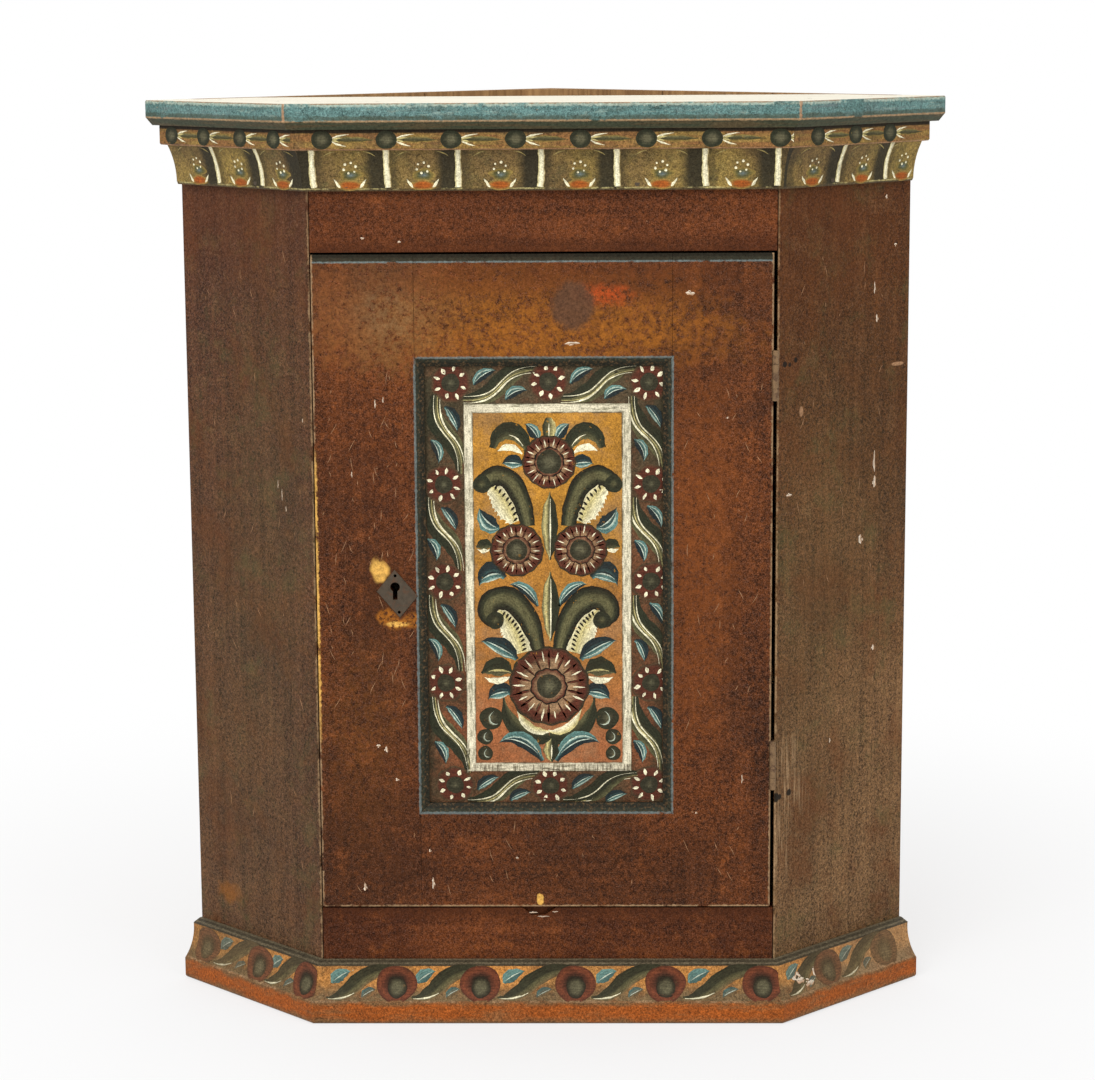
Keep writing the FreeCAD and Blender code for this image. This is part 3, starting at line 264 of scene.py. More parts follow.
class Nodes:
    """Adds nodes to one tree. A Value is linked to its input, and anything else is set on it."""

    def __init__(self, tree):
        self.tree = tree

    def feed(self, socket, value):
        if isinstance(value, Value):
            self.tree.links.new(value.socket, socket)
        else:
            socket.default_value = value

    def add(self, kind, values=None, **settings):
        node = self.tree.nodes.new(kind)
        for key, setting in settings.items():
            setattr(node, key, setting)
        for key, value in (values or {}).items():
            self.feed(node.inputs[key], value)
        return node

    def take(self, node, key=0):
        return Value(self, node.outputs[key])

    def math(self, operation, *values):
        return self.take(self.add("ShaderNodeMath", dict(enumerate(values)), operation=operation))

    def vector(self, operation, *values):
        node = self.add("ShaderNodeVectorMath", dict(enumerate(values)), operation=operation)
        return self.take(node, "Value" if operation in ("LENGTH", "DOT_PRODUCT") else "Vector")

    def mix(self, share, first, second, blend="MIX"):
        colours = {0: share, 6: first, 7: second}
        return self.take(self.add("ShaderNodeMix", data_type="RGBA", blend_type=blend, values=colours), 2)

    def group(self, name, **values):
        return self.add("ShaderNodeGroup", values, node_tree=bpy.data.node_groups[name])


def shader_group(name, takes, gives):
    """A new node group; returns its nodes, the values given to it, and a function that gives its results."""
    tree = bpy.data.node_groups.new(name, "ShaderNodeTree")
    for way, kinds in (("INPUT", takes), ("OUTPUT", gives)):
        for kind, labels in kinds.items():
            for label in labels.split():
                tree.interface.new_socket(label, in_out=way, socket_type=f"NodeSocket{kind}")
    nodes = Nodes(tree)
    given = [Value(nodes, socket) for socket in nodes.add("NodeGroupInput").outputs if socket.name]

    def give(**values):
        nodes.add("NodeGroupOutput", values)

    return nodes, given, give


def make_aged_paint():
    """Old oil paint: cloudy patches, brush grain, speckle where the coat is thin, and small chips."""
    nodes, given, give = shader_group(
        "aged_paint",
        {"Vector": "Place Grain", "Color": "Paint Shade Glow Chip", "Float": "Mottle Speckle Chips"},
        {"Color": "Colour", "Float": "Roughness Height"})
    place, grain, paint, shade, glow, chip, mottle, speckle, chips = given
    blotch = place.noise(7, 4).step(0.36, 0.66)
    cloud = place.noise(52, 5, 0.7).step(0.46, 0.74)
    grit = place.noise(230, 4, 0.72).step(0.5, 0.66)
    streak = place.stretched(grain).noise(1, 4)
    speck = place.noise(330, 4, 0.75)
    fine = place.noise(800, 2, 0.7)
    colour = nodes.mix(blotch * mottle, paint, shade)
    colour = nodes.mix(cloud * mottle * 0.65, colour, glow)
    colour = nodes.mix(grit * mottle * 0.6, colour, shade)
    swing = speck.scaled(5.4, -2.7) + streak.scaled(1.8, -0.9) + fine.scaled(4.4, -2.2)
    colour = nodes.mix(1.0, colour, swing.scaled(speckle, 1.0).most(0.2), "MULTIPLY")
    glint = (fine - 0.5).most(0.0)
    colour = nodes.mix(1.0, colour, glint * speckle * 0.2, "ADD")
    scratches = place.stretched(grain.stretched((7, 7, 7))).noise(1, 5, 0.75).step(0.62, 0.74)
    colour = nodes.mix(scratches * chips * 0.6, colour, chip)
    bare = place.noise(105, 5, 0.72).step(0.69, 0.72) * chips
    give(Colour=nodes.mix(bare, colour, chip), Roughness=speck.scaled(0.3, 0.34),
         Height=speck * 0.5 + streak * 0.5 - bare * 0.4)


def make_laid_paint():
    """A paint laid over part of a surface, with the speckle of its ground showing in it."""
    nodes, given, give = shader_group(
        "laid_paint", {"Vector": "Place", "Color": "Colour Paint", "Float": "Mask Strength"},
        {"Color": "Colour"})
    place, colour, paint, mask, strength = given
    speck = place.noise(360, 4, 0.75).scaled(3.2, -0.6)
    covered = nodes.mix(0.8, paint, nodes.mix(1.0, paint, speck, "MULTIPLY"))
    give(Colour=nodes.mix(mask * strength, colour, covered))


def make_hand_edge():
    """A measure moved to and fro by noise, for a hand-painted edge."""
    _, given, give = shader_group(
        "hand_edge", {"Vector": "Place", "Float": "Measure Scale Reach"}, {"Float": "Measure"})
    place, measure, scale, reach = given
    give(Measure=measure + place.noise(scale, 3).scaled(reach * 2.0, reach * -1.0))


def make_patches():
    """Cloudy patches, drawn out along the axes by a stretch."""
    nodes, given, give = shader_group(
        "patches", {"Vector": "Place Stretch", "Float": "Scale Detail Ragged Low High"}, {"Float": "Mask"})
    place, stretch, scale, detail, ragged, low, high = given
    cloud = place.stretched(stretch).noise(scale, detail, ragged)
    spread = nodes.add("ShaderNodeMapRange", {0: cloud, 1: low, 2: high}, interpolation_type="SMOOTHSTEP")
    give(Mask=nodes.take(spread))


def make_worn_spot():
    """A ragged patch round a centre: 1 inside, 0 outside."""
    nodes, given, give = shader_group(
        "worn_spot", {"Vector": "Place Centre Radius", "Float": "Ragged Soft"}, {"Float": "Mask"})
    place, centre, radius, ragged, soft = given
    offset = nodes.vector("SUBTRACT", place, centre)
    reach = nodes.vector("LENGTH", nodes.vector("DIVIDE", offset, radius))
    edge = ragged.scaled(-0.5, place.noise(90, 5, 0.65).scaled(ragged, reach))
    give(Mask=((1.0 - edge) / soft).step(-0.5, 0.5))


def make_worn_line():
    """A broken line of bare arris, by the distance from the edge."""
    _, given, give = shader_group(
        "worn_line", {"Vector": "Place", "Float": "Distance Width Broken"}, {"Float": "Mask"})
    place, distance, width, broken = given
    share = distance / width + place.noise(260, 4).scaled(1.6, -0.8)
    kept = place.noise(30, 5, 0.7) - broken
    give(Mask=share.step(1.0, 0.5) * kept.step(-0.05, 0.05))


def make_pine_grain():
    """Bare softwood: rings drawn out along the plank, streaks of age, dark specks and patches of dirt."""
    nodes, given, give = shader_group(
        "pine_grain", {"Vector": "Place Grain", "Color": "Light Dark"},
        {"Color": "Colour", "Float": "Roughness Height"})
    place, grain, light, dark = given
    drawn = place.stretched(grain)
    rings = nodes.math("SINE", drawn.noise(0.7, 2, 0.45) * 70.0).scaled(0.5, 0.5).step(0.25, 1.0)
    fibre = drawn.noise(11, 5, 0.75)
    streak = drawn.noise(2.2, 4, 0.7).step(0.42, 0.72)
    dirt = place.noise(9, 6, 0.7).step(0.44, 0.74)
    speck = place.noise(240, 4, 0.75).step(0.6, 0.72)
    colour = nodes.mix(rings * 0.34 + fibre.scaled(0.9, -0.25), light, dark)
    colour = nodes.mix(streak * 0.4, colour, dark)
    aged = dirt.scaled(-0.38, speck.scaled(-0.25, 1.0))
    give(Colour=nodes.mix(1.0, colour, aged, "MULTIPLY"), Roughness=fibre.scaled(0.25, 0.55),
         Height=rings * 0.4 + fibre * 0.6)


def make_cove_band():
    """Dark bands beside one cream stripe of the cornice, by the distance along the run."""
    _, (run, stripe), give = shader_group("cove_band", {"Float": "Run Stripe"}, {"Float": "Dark"})
    away = run - stripe
    before = away.step(-27 * MM, -14 * MM) * away.step(2 * MM, 0)
    after = away.step(0, 2 * MM) * away.step(14 * MM, 5 * MM) * 0.6
    give(Dark=before.most(after))


def make_old_varnish():
    """Dirt in dark varnish, the same over brush strokes and over the ground that they lie on."""
    nodes, given, give = shader_group(
        "old_varnish", {"Vector": "Place", "Color": "Colour Dark", "Float": "Dirt"}, {"Color": "Colour"})
    place, colour, dark, dirt = given
    cloud = place.noise(26, 5, 0.75).step(0.42, 0.72)
    grit = place.noise(220, 5, 0.75).step(0.47, 0.68)
    colour = nodes.mix((cloud * 0.42 + grit * 0.45) * dirt, colour, dark)
    light = place.noise(720, 3, 0.75).scaled(3.0, -1.5).scaled(dirt, 1.0).most(0.2)
    give(Colour=nodes.mix(1.0, colour, light, "MULTIPLY"))


def make_hammered_metal():
    """Hammered metal with patches of rust, which don't shine."""
    nodes, given, give = shader_group(
        "hammered_metal", {"Vector": "Place", "Color": "Base Patch", "Float": "Rough Shine"},
        {"Color": "Colour", "Float": "Roughness Height Metallic"})
    place, base, patch, rough, shine = given
    hammer = place.noise(210, 3)
    patches = place.noise(130, 5, 0.7).step(0.48, 0.64)
    colour = nodes.mix(1.0, base, hammer.scaled(0.9, 0.55), "MULTIPLY")
    give(Colour=nodes.mix(patches, colour, patch), Roughness=patches.scaled(0.3, rough), Height=hammer,
         Metallic=patches.scaled(shine * -1.0, shine))


def make_brush_marks():
    """Bristle marks along a stroke of paint, worn through to the ground in places."""
    nodes, given, give = shader_group(
        "brush_marks", {"Vector": "Place Drawn", "Color": "Paint Loss"},
        {"Color": "Colour", "Float": "Roughness Height"})
    place, drawn, paint, loss = given
    bristle = drawn.stretched((60, 650, 1)).noise(1, 3, 0.65)
    speck = place.noise(420, 4, 0.75)
    light = bristle.scaled(1.7, -0.35) + speck.scaled(1.4, -0.2)
    worn = place.noise(150, 5, 0.72).step(0.65, 0.7)
    give(Colour=nodes.mix(worn * 0.8, nodes.mix(1.0, paint, light, "MULTIPLY"), loss),
         Roughness=speck.scaled(0.3, 0.3), Height=bristle)


# Grain of paint brushed up and along, of bare planks that stand or lie, and of short pieces.
UPRIGHT = (95, 95, 5)
LEVEL = (5, 95, 95)
STANDING = (34, 34, 3)
LYING = (3, 34, 34)
SHORT = (20, 20, 26)
# Ways that faces look.
UP = (0, 0, 1)
BACK = (0, 1, 0)


class Finish(Nodes):
    """A material: layers of paint and wear over Object coordinates, led into its Principled shader."""

    def __init__(self, name):
        self.material = bpy.data.materials.new(name)
        self.material.use_nodes = True
        super().__init__(self.material.node_tree)
        self.shader = self.tree.nodes["Principled BSDF"]
        coordinates = self.add("ShaderNodeTexCoord")
        self.place = self.take(coordinates, "Object")
        self.normal = self.take(coordinates, "Normal")
        parts = self.add("ShaderNodeSeparateXYZ", {0: self.place})
        self.x = self.take(parts, "X")
        self.z = self.take(parts, "Z")

    def use(self, name, **values):
        """A shared shader group, led by this material's coordinates."""
        return self.group(name, Place=self.place, **values)

    def start(self, node):
        self.colour = self.take(node, "Colour")
        self.roughness = self.take(node, "Roughness")
        self.height = self.take(node, "Height")

    def aged(self, paint, shade, glow, grain, mottle, speckle, chips, chip="chip"):
        """Start with a coat of old paint; a paint is a name of the palette or a mixture."""
        paints = {"Paint": paint, "Shade": shade, "Glow": glow, "Chip": chip}
        tones = {key: tone(value) if isinstance(value, str) else value for key, value in paints.items()}
        self.start(self.use("aged_paint", Grain=grain, Mottle=mottle, Speckle=speckle, Chips=chips, **tones))

    def over(self, mask, paint, strength=1.0):
        """Lay a paint of the palette over the mask's part of the surface."""
        self.colour = self.take(self.use("laid_paint", Colour=self.colour, Paint=tone(paint), Mask=mask,
                                         Strength=strength))

    def patches(self, scale, low, high, detail=5, ragged=0.75, stretch=(1, 1, 1)):
        """Mask of cloudy patches."""
        return self.take(self.use("patches", Stretch=stretch, Scale=scale, Detail=detail, Ragged=ragged,
                                  Low=low, High=high))

    def spot(self, x, z, wide, tall, ragged, soft):
        """Mask of a ragged patch on the front; sizes in millimetres."""
        return self.spot_at((x * MM, FRONT, z * MM), (wide * MM, 1.0, tall * MM), ragged, soft)

    def side_spot(self, hand, along, height, wide, tall, ragged, soft):
        """Mask of a patch on a canted side, by its distance from the front arris."""
        reach = along * MM * SLANT
        centre = (hand * (HALF + reach), FRONT + reach, height * MM)
        return self.spot_at(centre, (wide * MM, wide * MM, tall * MM), ragged, soft)

    def spot_at(self, centre, radius, ragged, soft):
        return self.take(self.use("worn_spot", Centre=centre, Radius=radius, Ragged=ragged, Soft=soft))

    def line(self, distance, broken, width):
        """Mask of a worn arris by its distance."""
        bare = bpy.context.scene.cabinet_sizes.arris_width * width
        return self.take(self.use("worn_line", Distance=distance, Width=bare, Broken=broken))

    def wobble(self, measure, scale, reach):
        """The measure moved to and fro by up to reach millimetres, for a hand-painted edge."""
        return self.take(self.use("hand_edge", Measure=measure, Scale=scale, Reach=reach * MM))

    def inside(self, low_x, low_z, high_x, high_z):
        """How far a point is inside an upright rectangle of the front."""
        return (self.x - low_x).least(high_x - self.x).least(self.z - low_z).least(high_z - self.z)

    def towards(self, way, low, high):
        """Mask of the faces that look a given way."""
        return self.vector("DOT_PRODUCT", self.normal, way).step(low, high)

    def pine(self, grain, light="pine", dark="pine_dark"):
        return self.use("pine_grain", Grain=grain, Light=tone(light), Dark=tone(dark))

    def bare(self, mask, grain):
        """Leave the mask's part of the piece unpainted."""
        self.colour = self.mix(mask, self.colour, self.take(self.pine(grain), "Colour"))

    def varnish(self, dirt):
        """Darken the layers laid so far with dirt and old varnish."""
        self.colour = self.take(self.use("old_varnish", Colour=self.colour, Dark=tone("dirt"), Dirt=dirt))

    def done(self, relief, gloss):
        """Lead the layers into the shader; relief is the height of the bump in millimetres."""
        bump = self.add("ShaderNodeBump", {"Height": self.height, "Distance": relief * MM})
        layers = {"Base Color": self.colour, "Roughness": self.roughness, "Normal": self.take(bump),
                  "Specular IOR Level": gloss}
        for key, value in layers.items():
            self.feed(self.shader.inputs[key], value)
        return self.material


def dress(material, *nodes):
    """Give CAD nodes their finish."""
    for name in nodes:
        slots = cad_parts[name].material_slots
        if not slots:
            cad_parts[name].data.materials.append(material)
        for slot in slots:
            slot.material = material


def nodes_like(*beginnings):
    """The CAD nodes whose names begin in one of these ways."""
    return [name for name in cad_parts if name.startswith(beginnings)]


# Marks of each canted side: distance from the front arris, height, width, height of the mark, raggedness,
# softness, paint and strength.
SIDE_MARKS = {
    -1: ((120, 330, 90, 260, 2.4, 2.0, "cove_moss", 0.1), (60, 560, 60, 200, 2.4, 2.0, "cove_moss", 0.1),
         (100, 830, 130, 70, 2.4, 2.0, "rail_red", 0.4), (152, 99, 18, 9, 2.2, 1.0, "golden", 0.5)),
    1: ((120, 560, 90, 200, 2.4, 2.0, "cove_moss", 0.08), (40, 400, 70, 160, 2.4, 2.0, "cove_moss", 0.08),
        (16, 258, 22, 36, 2.6, 1.2, "arris", 0.7), (10, 190, 14, 44, 2.6, 1.2, "arris", 0.7),
        (44, 225, 10, 14, 2.6, 1.2, "arris", 0.7), (2, 229, 5, 5, 0.9, 0.3, "ink", 0.95),
        (8, 229, 3, 3, 0.9, 0.3, "ink", 0.95), (22, 231, 3.4, 3.4, 0.9, 0.3, "ink", 0.95),
        (11, 666, 3, 3, 0.9, 0.3, "ink", 0.95), (18, 665, 2, 2, 0.9, 0.3, "ink", 0.95),
        (27, 669, 3, 3, 0.9, 0.3, "ink", 0.95), (60, 810, 120, 90, 2.4, 2.0, "rail_red", 0.3),
        (185, 652, 9, 2, 1.2, 0.3, "chip", 0.8), (36, 617, 3, 5, 1.2, 0.3, "chip", 0.7)),
}


def side_finish(name, hand, paint, shade, dusty):
    """A canted side: dull brown, drier towards the floor, worn along its front arris, bare inside."""
    finish = Finish(name)
    lower = finish.wobble(finish.z, 9, 160).step(760 * MM, 60 * MM) * dusty
    ground = finish.mix(lower, tone(paint), tone("dust"))
    finish.aged(ground, shade, "dust", UPRIGHT, mottle=0.5, speckle=0.75, chips=0.35)
    finish.over(finish.patches(13, 0.48, 0.66, 5, 0.7), "rail_red", 0.42)
    finish.over(finish.patches(19, 0.52, 0.7, 5, 0.7), "cove_moss", 0.3)
    outward = (hand * SLANT, -SLANT, 0)
    worn = finish.line(finish.x * hand - HALF, 0.46, 1.4)
    finish.over(worn * finish.towards(outward, 0.3, 0.6), "arris", 0.7)
    for along, height, wide, tall, ragged, soft, mark, strength in SIDE_MARKS[hand]:
        mask = finish.side_spot(hand, along, height, wide, tall, ragged, soft)
        if mark == "arris":
            mask = mask * finish.patches(1, 0.46, 0.64, 4, 0.7, stretch=(420, 420, 16))
        finish.over(mask, mark, strength)
    finish.bare(finish.towards(outward, 0.1, -0.3), STANDING)
    return finish.done(relief=0.25, gloss=0.06)


def rail_finish(name, seam, mottle):
    """A rail of the front, with painted shade along its seam with the door."""
    finish = Finish(name)
    finish.aged("rail_red", "rail_shade", "door_glow", LEVEL, mottle, speckle=0.62, chips=0.5)
    # Painted shade on the rail along its seam with the door.
    finish.over(finish.wobble(abs(finish.z - seam), 40, 8).step(26 * MM, 0), "rail_shade", 0.6)
    finish.bare(finish.towards(BACK, 0.4, 0.7), LYING)
    return finish.done(relief=0.25, gloss=0.07)


# Worn and dark places of the door frame as x, z, width, height, paint and strength, and tears by the keyhole.
DOOR_PATCHES = (
    (-30, 706, 140, 42, "golden", 0.7), (110, 716, 50, 30, "golden", 0.6), (0, 690, 160, 22, "golden", 0.6),
    (-165, 722, 66, 44, "dust", 0.75), (-60, 738, 70, 24, "golden", 0.35), (-185, 290, 34, 90, "golden", 0.2),
    (-205, 715, 30, 50, "door_glow", 0.6), (-185, 560, 50, 70, "rail_shade", 0.4),
    (150, 490, 34, 170, "door_glow", 0.7), (-40, 752, 170, 16, "rail_red", 0.7),
    (120, 748, 80, 20, "rail_red", 0.6), (-175, 180, 60, 70, "door_shade", 0.45),
    (60, 160, 150, 50, "door_shade", 0.35))
KEYHOLE_TEARS = (
    (-158, 417, 10, 8, "golden"), (-146, 410, 18, 6, "golden"), (-132, 413, 10, 7, "golden"),
    (-148, 409, 12, 3, "scuff"), (-118, 452, 3, 16, "golden"))


def door_finish(name, grain):
    """The door frame: red brown, golden where hands wore it, green on its bevels, bare at the back."""
    finish = Finish(name)
    finish.aged("door_red", "door_shade", "door_glow", grain, mottle=0.75, speckle=0.74, chips=0.6)
    thin = finish.patches(170, 0.36, 0.6, 5, 0.8)
    for x, z, wide, tall, paint, strength in DOOR_PATCHES:
        finish.over(finish.spot(x, z, wide, tall, 2.4, 1.5) * thin, paint, strength)
    finish.over(finish.spot(62, 736, 24, 9, 2.4, 1.2) * thin, "flower_orange", 0.8)
    finish.over(finish.spot(28, 725, 21, 23, 0.7, 0.4), "stain", 0.9)
    finish.over(finish.spot(-160, 440, 30, 46, 2.0, 1.4), "door_shade", 0.55)
    finish.over(finish.spot(-164, 463, 9, 13, 1.8, 0.5), "scuff", 0.9)
    torn = finish.patches(260, 0.4, 0.52)
    for x, z, wide, tall, paint in KEYHOLE_TEARS:
        finish.over(finish.spot(x, z, wide, tall, 1.6, 0.6) * torn, paint, 0.95)
    finish.over(finish.spot(-7, 125, 4, 6, 2.4, 0.3), "scuff")
    sight = finish.inside(*SIGHT)
    finish.over(finish.wobble(sight, 120, 0.6).step(0, 0.7 * MM), "sight_green")
    # Painted shade: dark over the inner part of the bevel round the panel.
    finish.over(finish.wobble(sight, 120, 0.8).step(3.4 * MM, 5.4 * MM), "ink", 0.6)
    finish.over(sight.step(0, 1 * MM) * finish.patches(330, 0.5, 0.64, 4), "dust", 0.5)
    finish.over(finish.line(abs(sight), 0.38, 0.9), "slate", 0.75)
    upper = DOOR_TOP - finish.z
    rough = finish.wobble(upper, 120, 0.8)
    finish.over(rough.step(7.4 * MM, 6.4 * MM), "sight_green", 0.9)
    # Painted shadow: dark along the door's upper edge, in the gap under the top rail.
    finish.over(rough.step(4 * MM, 2 * MM), "ink", 0.6)
    finish.over(finish.line(abs(upper - DOOR_REBATE), 0.42, 0.7), "slate", 0.8)
    lock_side = finish.x - DOOR_LEFT
    sides = lock_side.least(DOOR_RIGHT - finish.x).least(finish.z - DOOR_BOTTOM)
    front = finish.towards(BACK, -0.2, -0.5)
    finish.over(finish.line(sides, 0.44, 1.3) * front, "arris", 0.75)
    height = finish.wobble(finish.z, 20, 40)
    handled = height.step(280 * MM, 330 * MM) * height.step(600 * MM, 540 * MM)
    finish.over(finish.line(lock_side, 0.4, 1.9) * handled * front, "scuff", 0.85)
    finish.bare(finish.towards(BACK, 0.4, 0.7), STANDING if grain == UPRIGHT else LYING)
    return finish.done(relief=0.3, gloss=0.08)


def panel_finish():
    """The panel: a dark and rusty border, a cream band, and an ochre field that reddens downwards."""
    finish = Finish("panel_ground")
    rusty = finish.wobble(finish.z, 14, 170).step(620 * MM, 330 * MM)
    ground = finish.mix(rusty, tone("border_brown"), tone("border_rust"))
    finish.aged(ground, "border_brown", "border_rust", UPRIGHT, mottle=0.8, speckle=0.4, chips=0.4,
                chip="leaf_olive")
    sides = (finish.x - SIGHT[0]).least(SIGHT[2] - finish.x)
    # Painted shade in the recess by the frame, partly the border's own dark green: darker near the left and
    # right sight edges, below the top of the border.
    edge = finish.wobble(sides, 30, 10).step(30 * MM, 9 * MM)
    finish.over(edge * finish.z.step(650 * MM, 630 * MM), "leaf_green", 0.6)
    finish.over(finish.patches(33, 0.46, 0.62), "leaf_green", 0.5)
    low_x, low_z = FIELD_X - FIELD_HALF[0], FIELD_Z - FIELD_HALF[1]
    depth = finish.inside(low_x, low_z, FIELD_X + FIELD_HALF[0], FIELD_Z + FIELD_HALF[1])
    band = bpy.context.scene.cabinet_sizes.band_width
    inner = finish.wobble(depth, 110, 0.7).step(band - 0.4 * MM, band + 0.4 * MM)
    finish.colour = finish.mix(inner, finish.colour, field_ground(finish))
    rim = finish.wobble(depth, 160, 0.5).step(-0.5 * MM, 0.2 * MM) * (1.0 - inner)
    finish.colour = finish.mix(rim, finish.colour, band_ground(finish, depth, band, low_z))
    lining = abs(depth - band).step(1.4 * MM, 0.4 * MM) * finish.patches(60, 0.4, 0.6, 4, 0.6)
    finish.colour = finish.mix(lining * 0.7, finish.colour, tone("border_brown"))
    finish.varnish(0.8)
    finish.bare(finish.towards(BACK, 0.2, 0.5), STANDING)
    return finish.done(relief=0.3, gloss=0.08)


def field_ground(finish):
    """Ochre that reddens downwards, worn in fine grain and grubby in patches."""
    red = finish.wobble(finish.z, 11, 90).step(520 * MM, 280 * MM)
    ochre = finish.mix(red, tone("field_ochre"), tone("field_orange"))
    cloud = finish.place.noise(40, 5, 0.75).scaled(1.3, -0.1)
    worn = cloud + finish.place.noise(420, 3, 0.75).scaled(1.3, -0.2)
    ochre = finish.mix(1.0, ochre, worn, "MULTIPLY")
    return finish.mix(finish.patches(24, 0.46, 0.68, 4, 0.7) * 0.45, ochre, tone("flower_light"))


def band_ground(finish, depth, band, low_z):
    """Cream brushed along the band, grubby at its edges, with drips at the foot."""
    hairs = finish.add("ShaderNodeCombineXYZ", {0: depth * 480.0, 1: finish.x * 60.0, 2: finish.z * 60.0})
    brushed = finish.take(hairs).noise(1, 5, 0.75).step(0.42, 0.7)
    cream = finish.mix(brushed * 0.85, tone("band_cream"), tone("leaf_olive"))
    grubby = finish.wobble(abs(depth - band * 0.5), 140, 1.4).step(band * 0.3, band * 0.62)
    grubby = grubby * finish.patches(45, 0.35, 0.6, 4, 0.7)
    cream = finish.mix(grubby * 0.85, cream, tone("leaf_olive"))
    drips = finish.patches(1, 0.44, 0.6, 4, 0.7, stretch=(620, 1, 50))
    drips = drips * finish.z.step(low_z + band, low_z + band * 0.7)
    return finish.mix(drips * 0.75, cream, tone("border_brown"))


def top_finish():
    """The top board: scrubbed upper face, blue edge, green bevel, and pale worn arrises."""
    finish = Finish("top_paint")
    finish.aged("top_blue", "leaf_blue", "slate", LEVEL, mottle=0.6, speckle=0.5, chips=0.6, chip="arris")
    streaks = finish.place.stretched((14, 14, 220)).noise(1, 5, 0.7)
    finish.over(streaks.step(0.5, 0.68), "top_green", 0.4)
    finish.over(streaks.step(0.46, 0.3), "slate", 0.7)
    finish.over(finish.patches(1, 0.54, 0.66, stretch=(40, 40, 190)), "leaf_pale", 0.2)
    lower = finish.wobble(finish.z, 50, 5).step(TOP_LOW.z + 14 * MM, TOP_LOW.z + 9 * MM)
    finish.over(lower, "top_green", 0.45)
    under = finish.towards(UP, -0.25, -0.5)
    finish.over(under, "top_green")
    finish.over(under * streaks.step(0.44, 0.62), "cove_shade", 0.5)
    finish.bare(finish.towards(BACK, 0.4, 0.7), LYING)
    raw = finish.towards(UP, 0.8, 0.95)
    scrubbed = finish.take(finish.pine(LYING, "top_cream", "pine"), "Colour")
    finish.colour = finish.mix(raw, finish.colour, finish.mix(0.8, scrubbed, tone("top_cream")))
    finish.over(finish.line(abs(finish.z - TOP_ARRIS), 0.4, 0.8), "arris", 0.85)
    upper = (TOP_HIGH.z - finish.z) * (1.0 - raw) + raw
    finish.over(finish.line(upper, 0.42, 2.6), "leaf_pale", 0.5)
    finish.over(finish.line(upper, 0.46, 0.9), "golden", 0.6)
    finish.over(finish.line(abs(finish.z - (TOP_ARRIS + 3 * MM)), 0.42, 1.6), "top_green", 0.5)
    corner = finish.line(abs(abs(finish.x) - TOP_CORNER), 0.3, 1.1)
    finish.over(corner * (1.0 - raw) * (1.0 - under), "chip", 0.8)
    return finish.done(relief=0.25, gloss=0.08)


def run_of(finish, side):
    """The distance along a moulding from the middle of the front."""
    if side == 0:
        return finish.x
    along = finish.vector("DOT_PRODUCT", finish.place, (SLANT, side * SLANT, 0.0))
    return along + side * (HALF - (HALF + FRONT) * SLANT)


SIDE_NAMES = {0: "front", 1: "right", -1: "left"}


def cornice_finish(side):
    """One length of the cornice: a rusty fillet over a cove of olive cells with dark bands."""
    finish = Finish(f"cornice_paint_{SIDE_NAMES[side]}")
    finish.aged("cove_olive", "cove_shade", "cove_moss", LEVEL, mottle=0.8, speckle=0.5, chips=0.4,
                chip="yellow")
    run = finish.wobble(run_of(finish, side), 60, 1.6)
    dark = None
    for stripe in STRIPES:
        if abs(stripe) <= HALF / MM if side == 0 else stripe * side > HALF / MM - 10:
            band = finish.take(finish.group("cove_band", Run=run, Stripe=stripe * MM))
            dark = band if dark is None else dark.most(band)
    finish.over(dark, "cove_dark", 0.94)
    fillet = finish.wobble(finish.z, 90, 0.6).step(FILLET_LOW - 0.6 * MM, FILLET_LOW + 0.6 * MM)
    finish.over(fillet, "fillet_rust")
    finish.over(fillet * finish.patches(1, 0.4, 0.62, 4, 0.6, stretch=(18, 18, 160)), "cove_olive", 0.7)
    finish.over(fillet * finish.patches(36, 0.5, 0.66), "cove_shade", 0.75)
    top, foot = CORNICE_HIGH.z, CORNICE_LOW.z
    # Painted shadow under the top board: darker over the top of the fillet, and nearly black in a thin line
    # just below its top edge.
    finish.over(finish.z.step(top - 5 * MM, top - 1 * MM), "cove_dark", 0.6)
    finish.over(finish.wobble(finish.z, 40, 0.8).step(top - 4.2 * MM, top - 2.8 * MM), "ink", 0.9)
    finish.over(finish.line(abs(finish.z - FILLET_LOW), 0.42, 0.7), "chip", 0.8)
    finish.over(finish.z.step(foot + 2.6 * MM, foot + 1.6 * MM), "border_brown", 0.8)
    finish.over(finish.line(abs(finish.z - (foot + 2.2 * MM)), 0.5, 0.6), "yellow", 0.6)
    finish.varnish(0.55)
    return finish.done(relief=0.3, gloss=0.08)


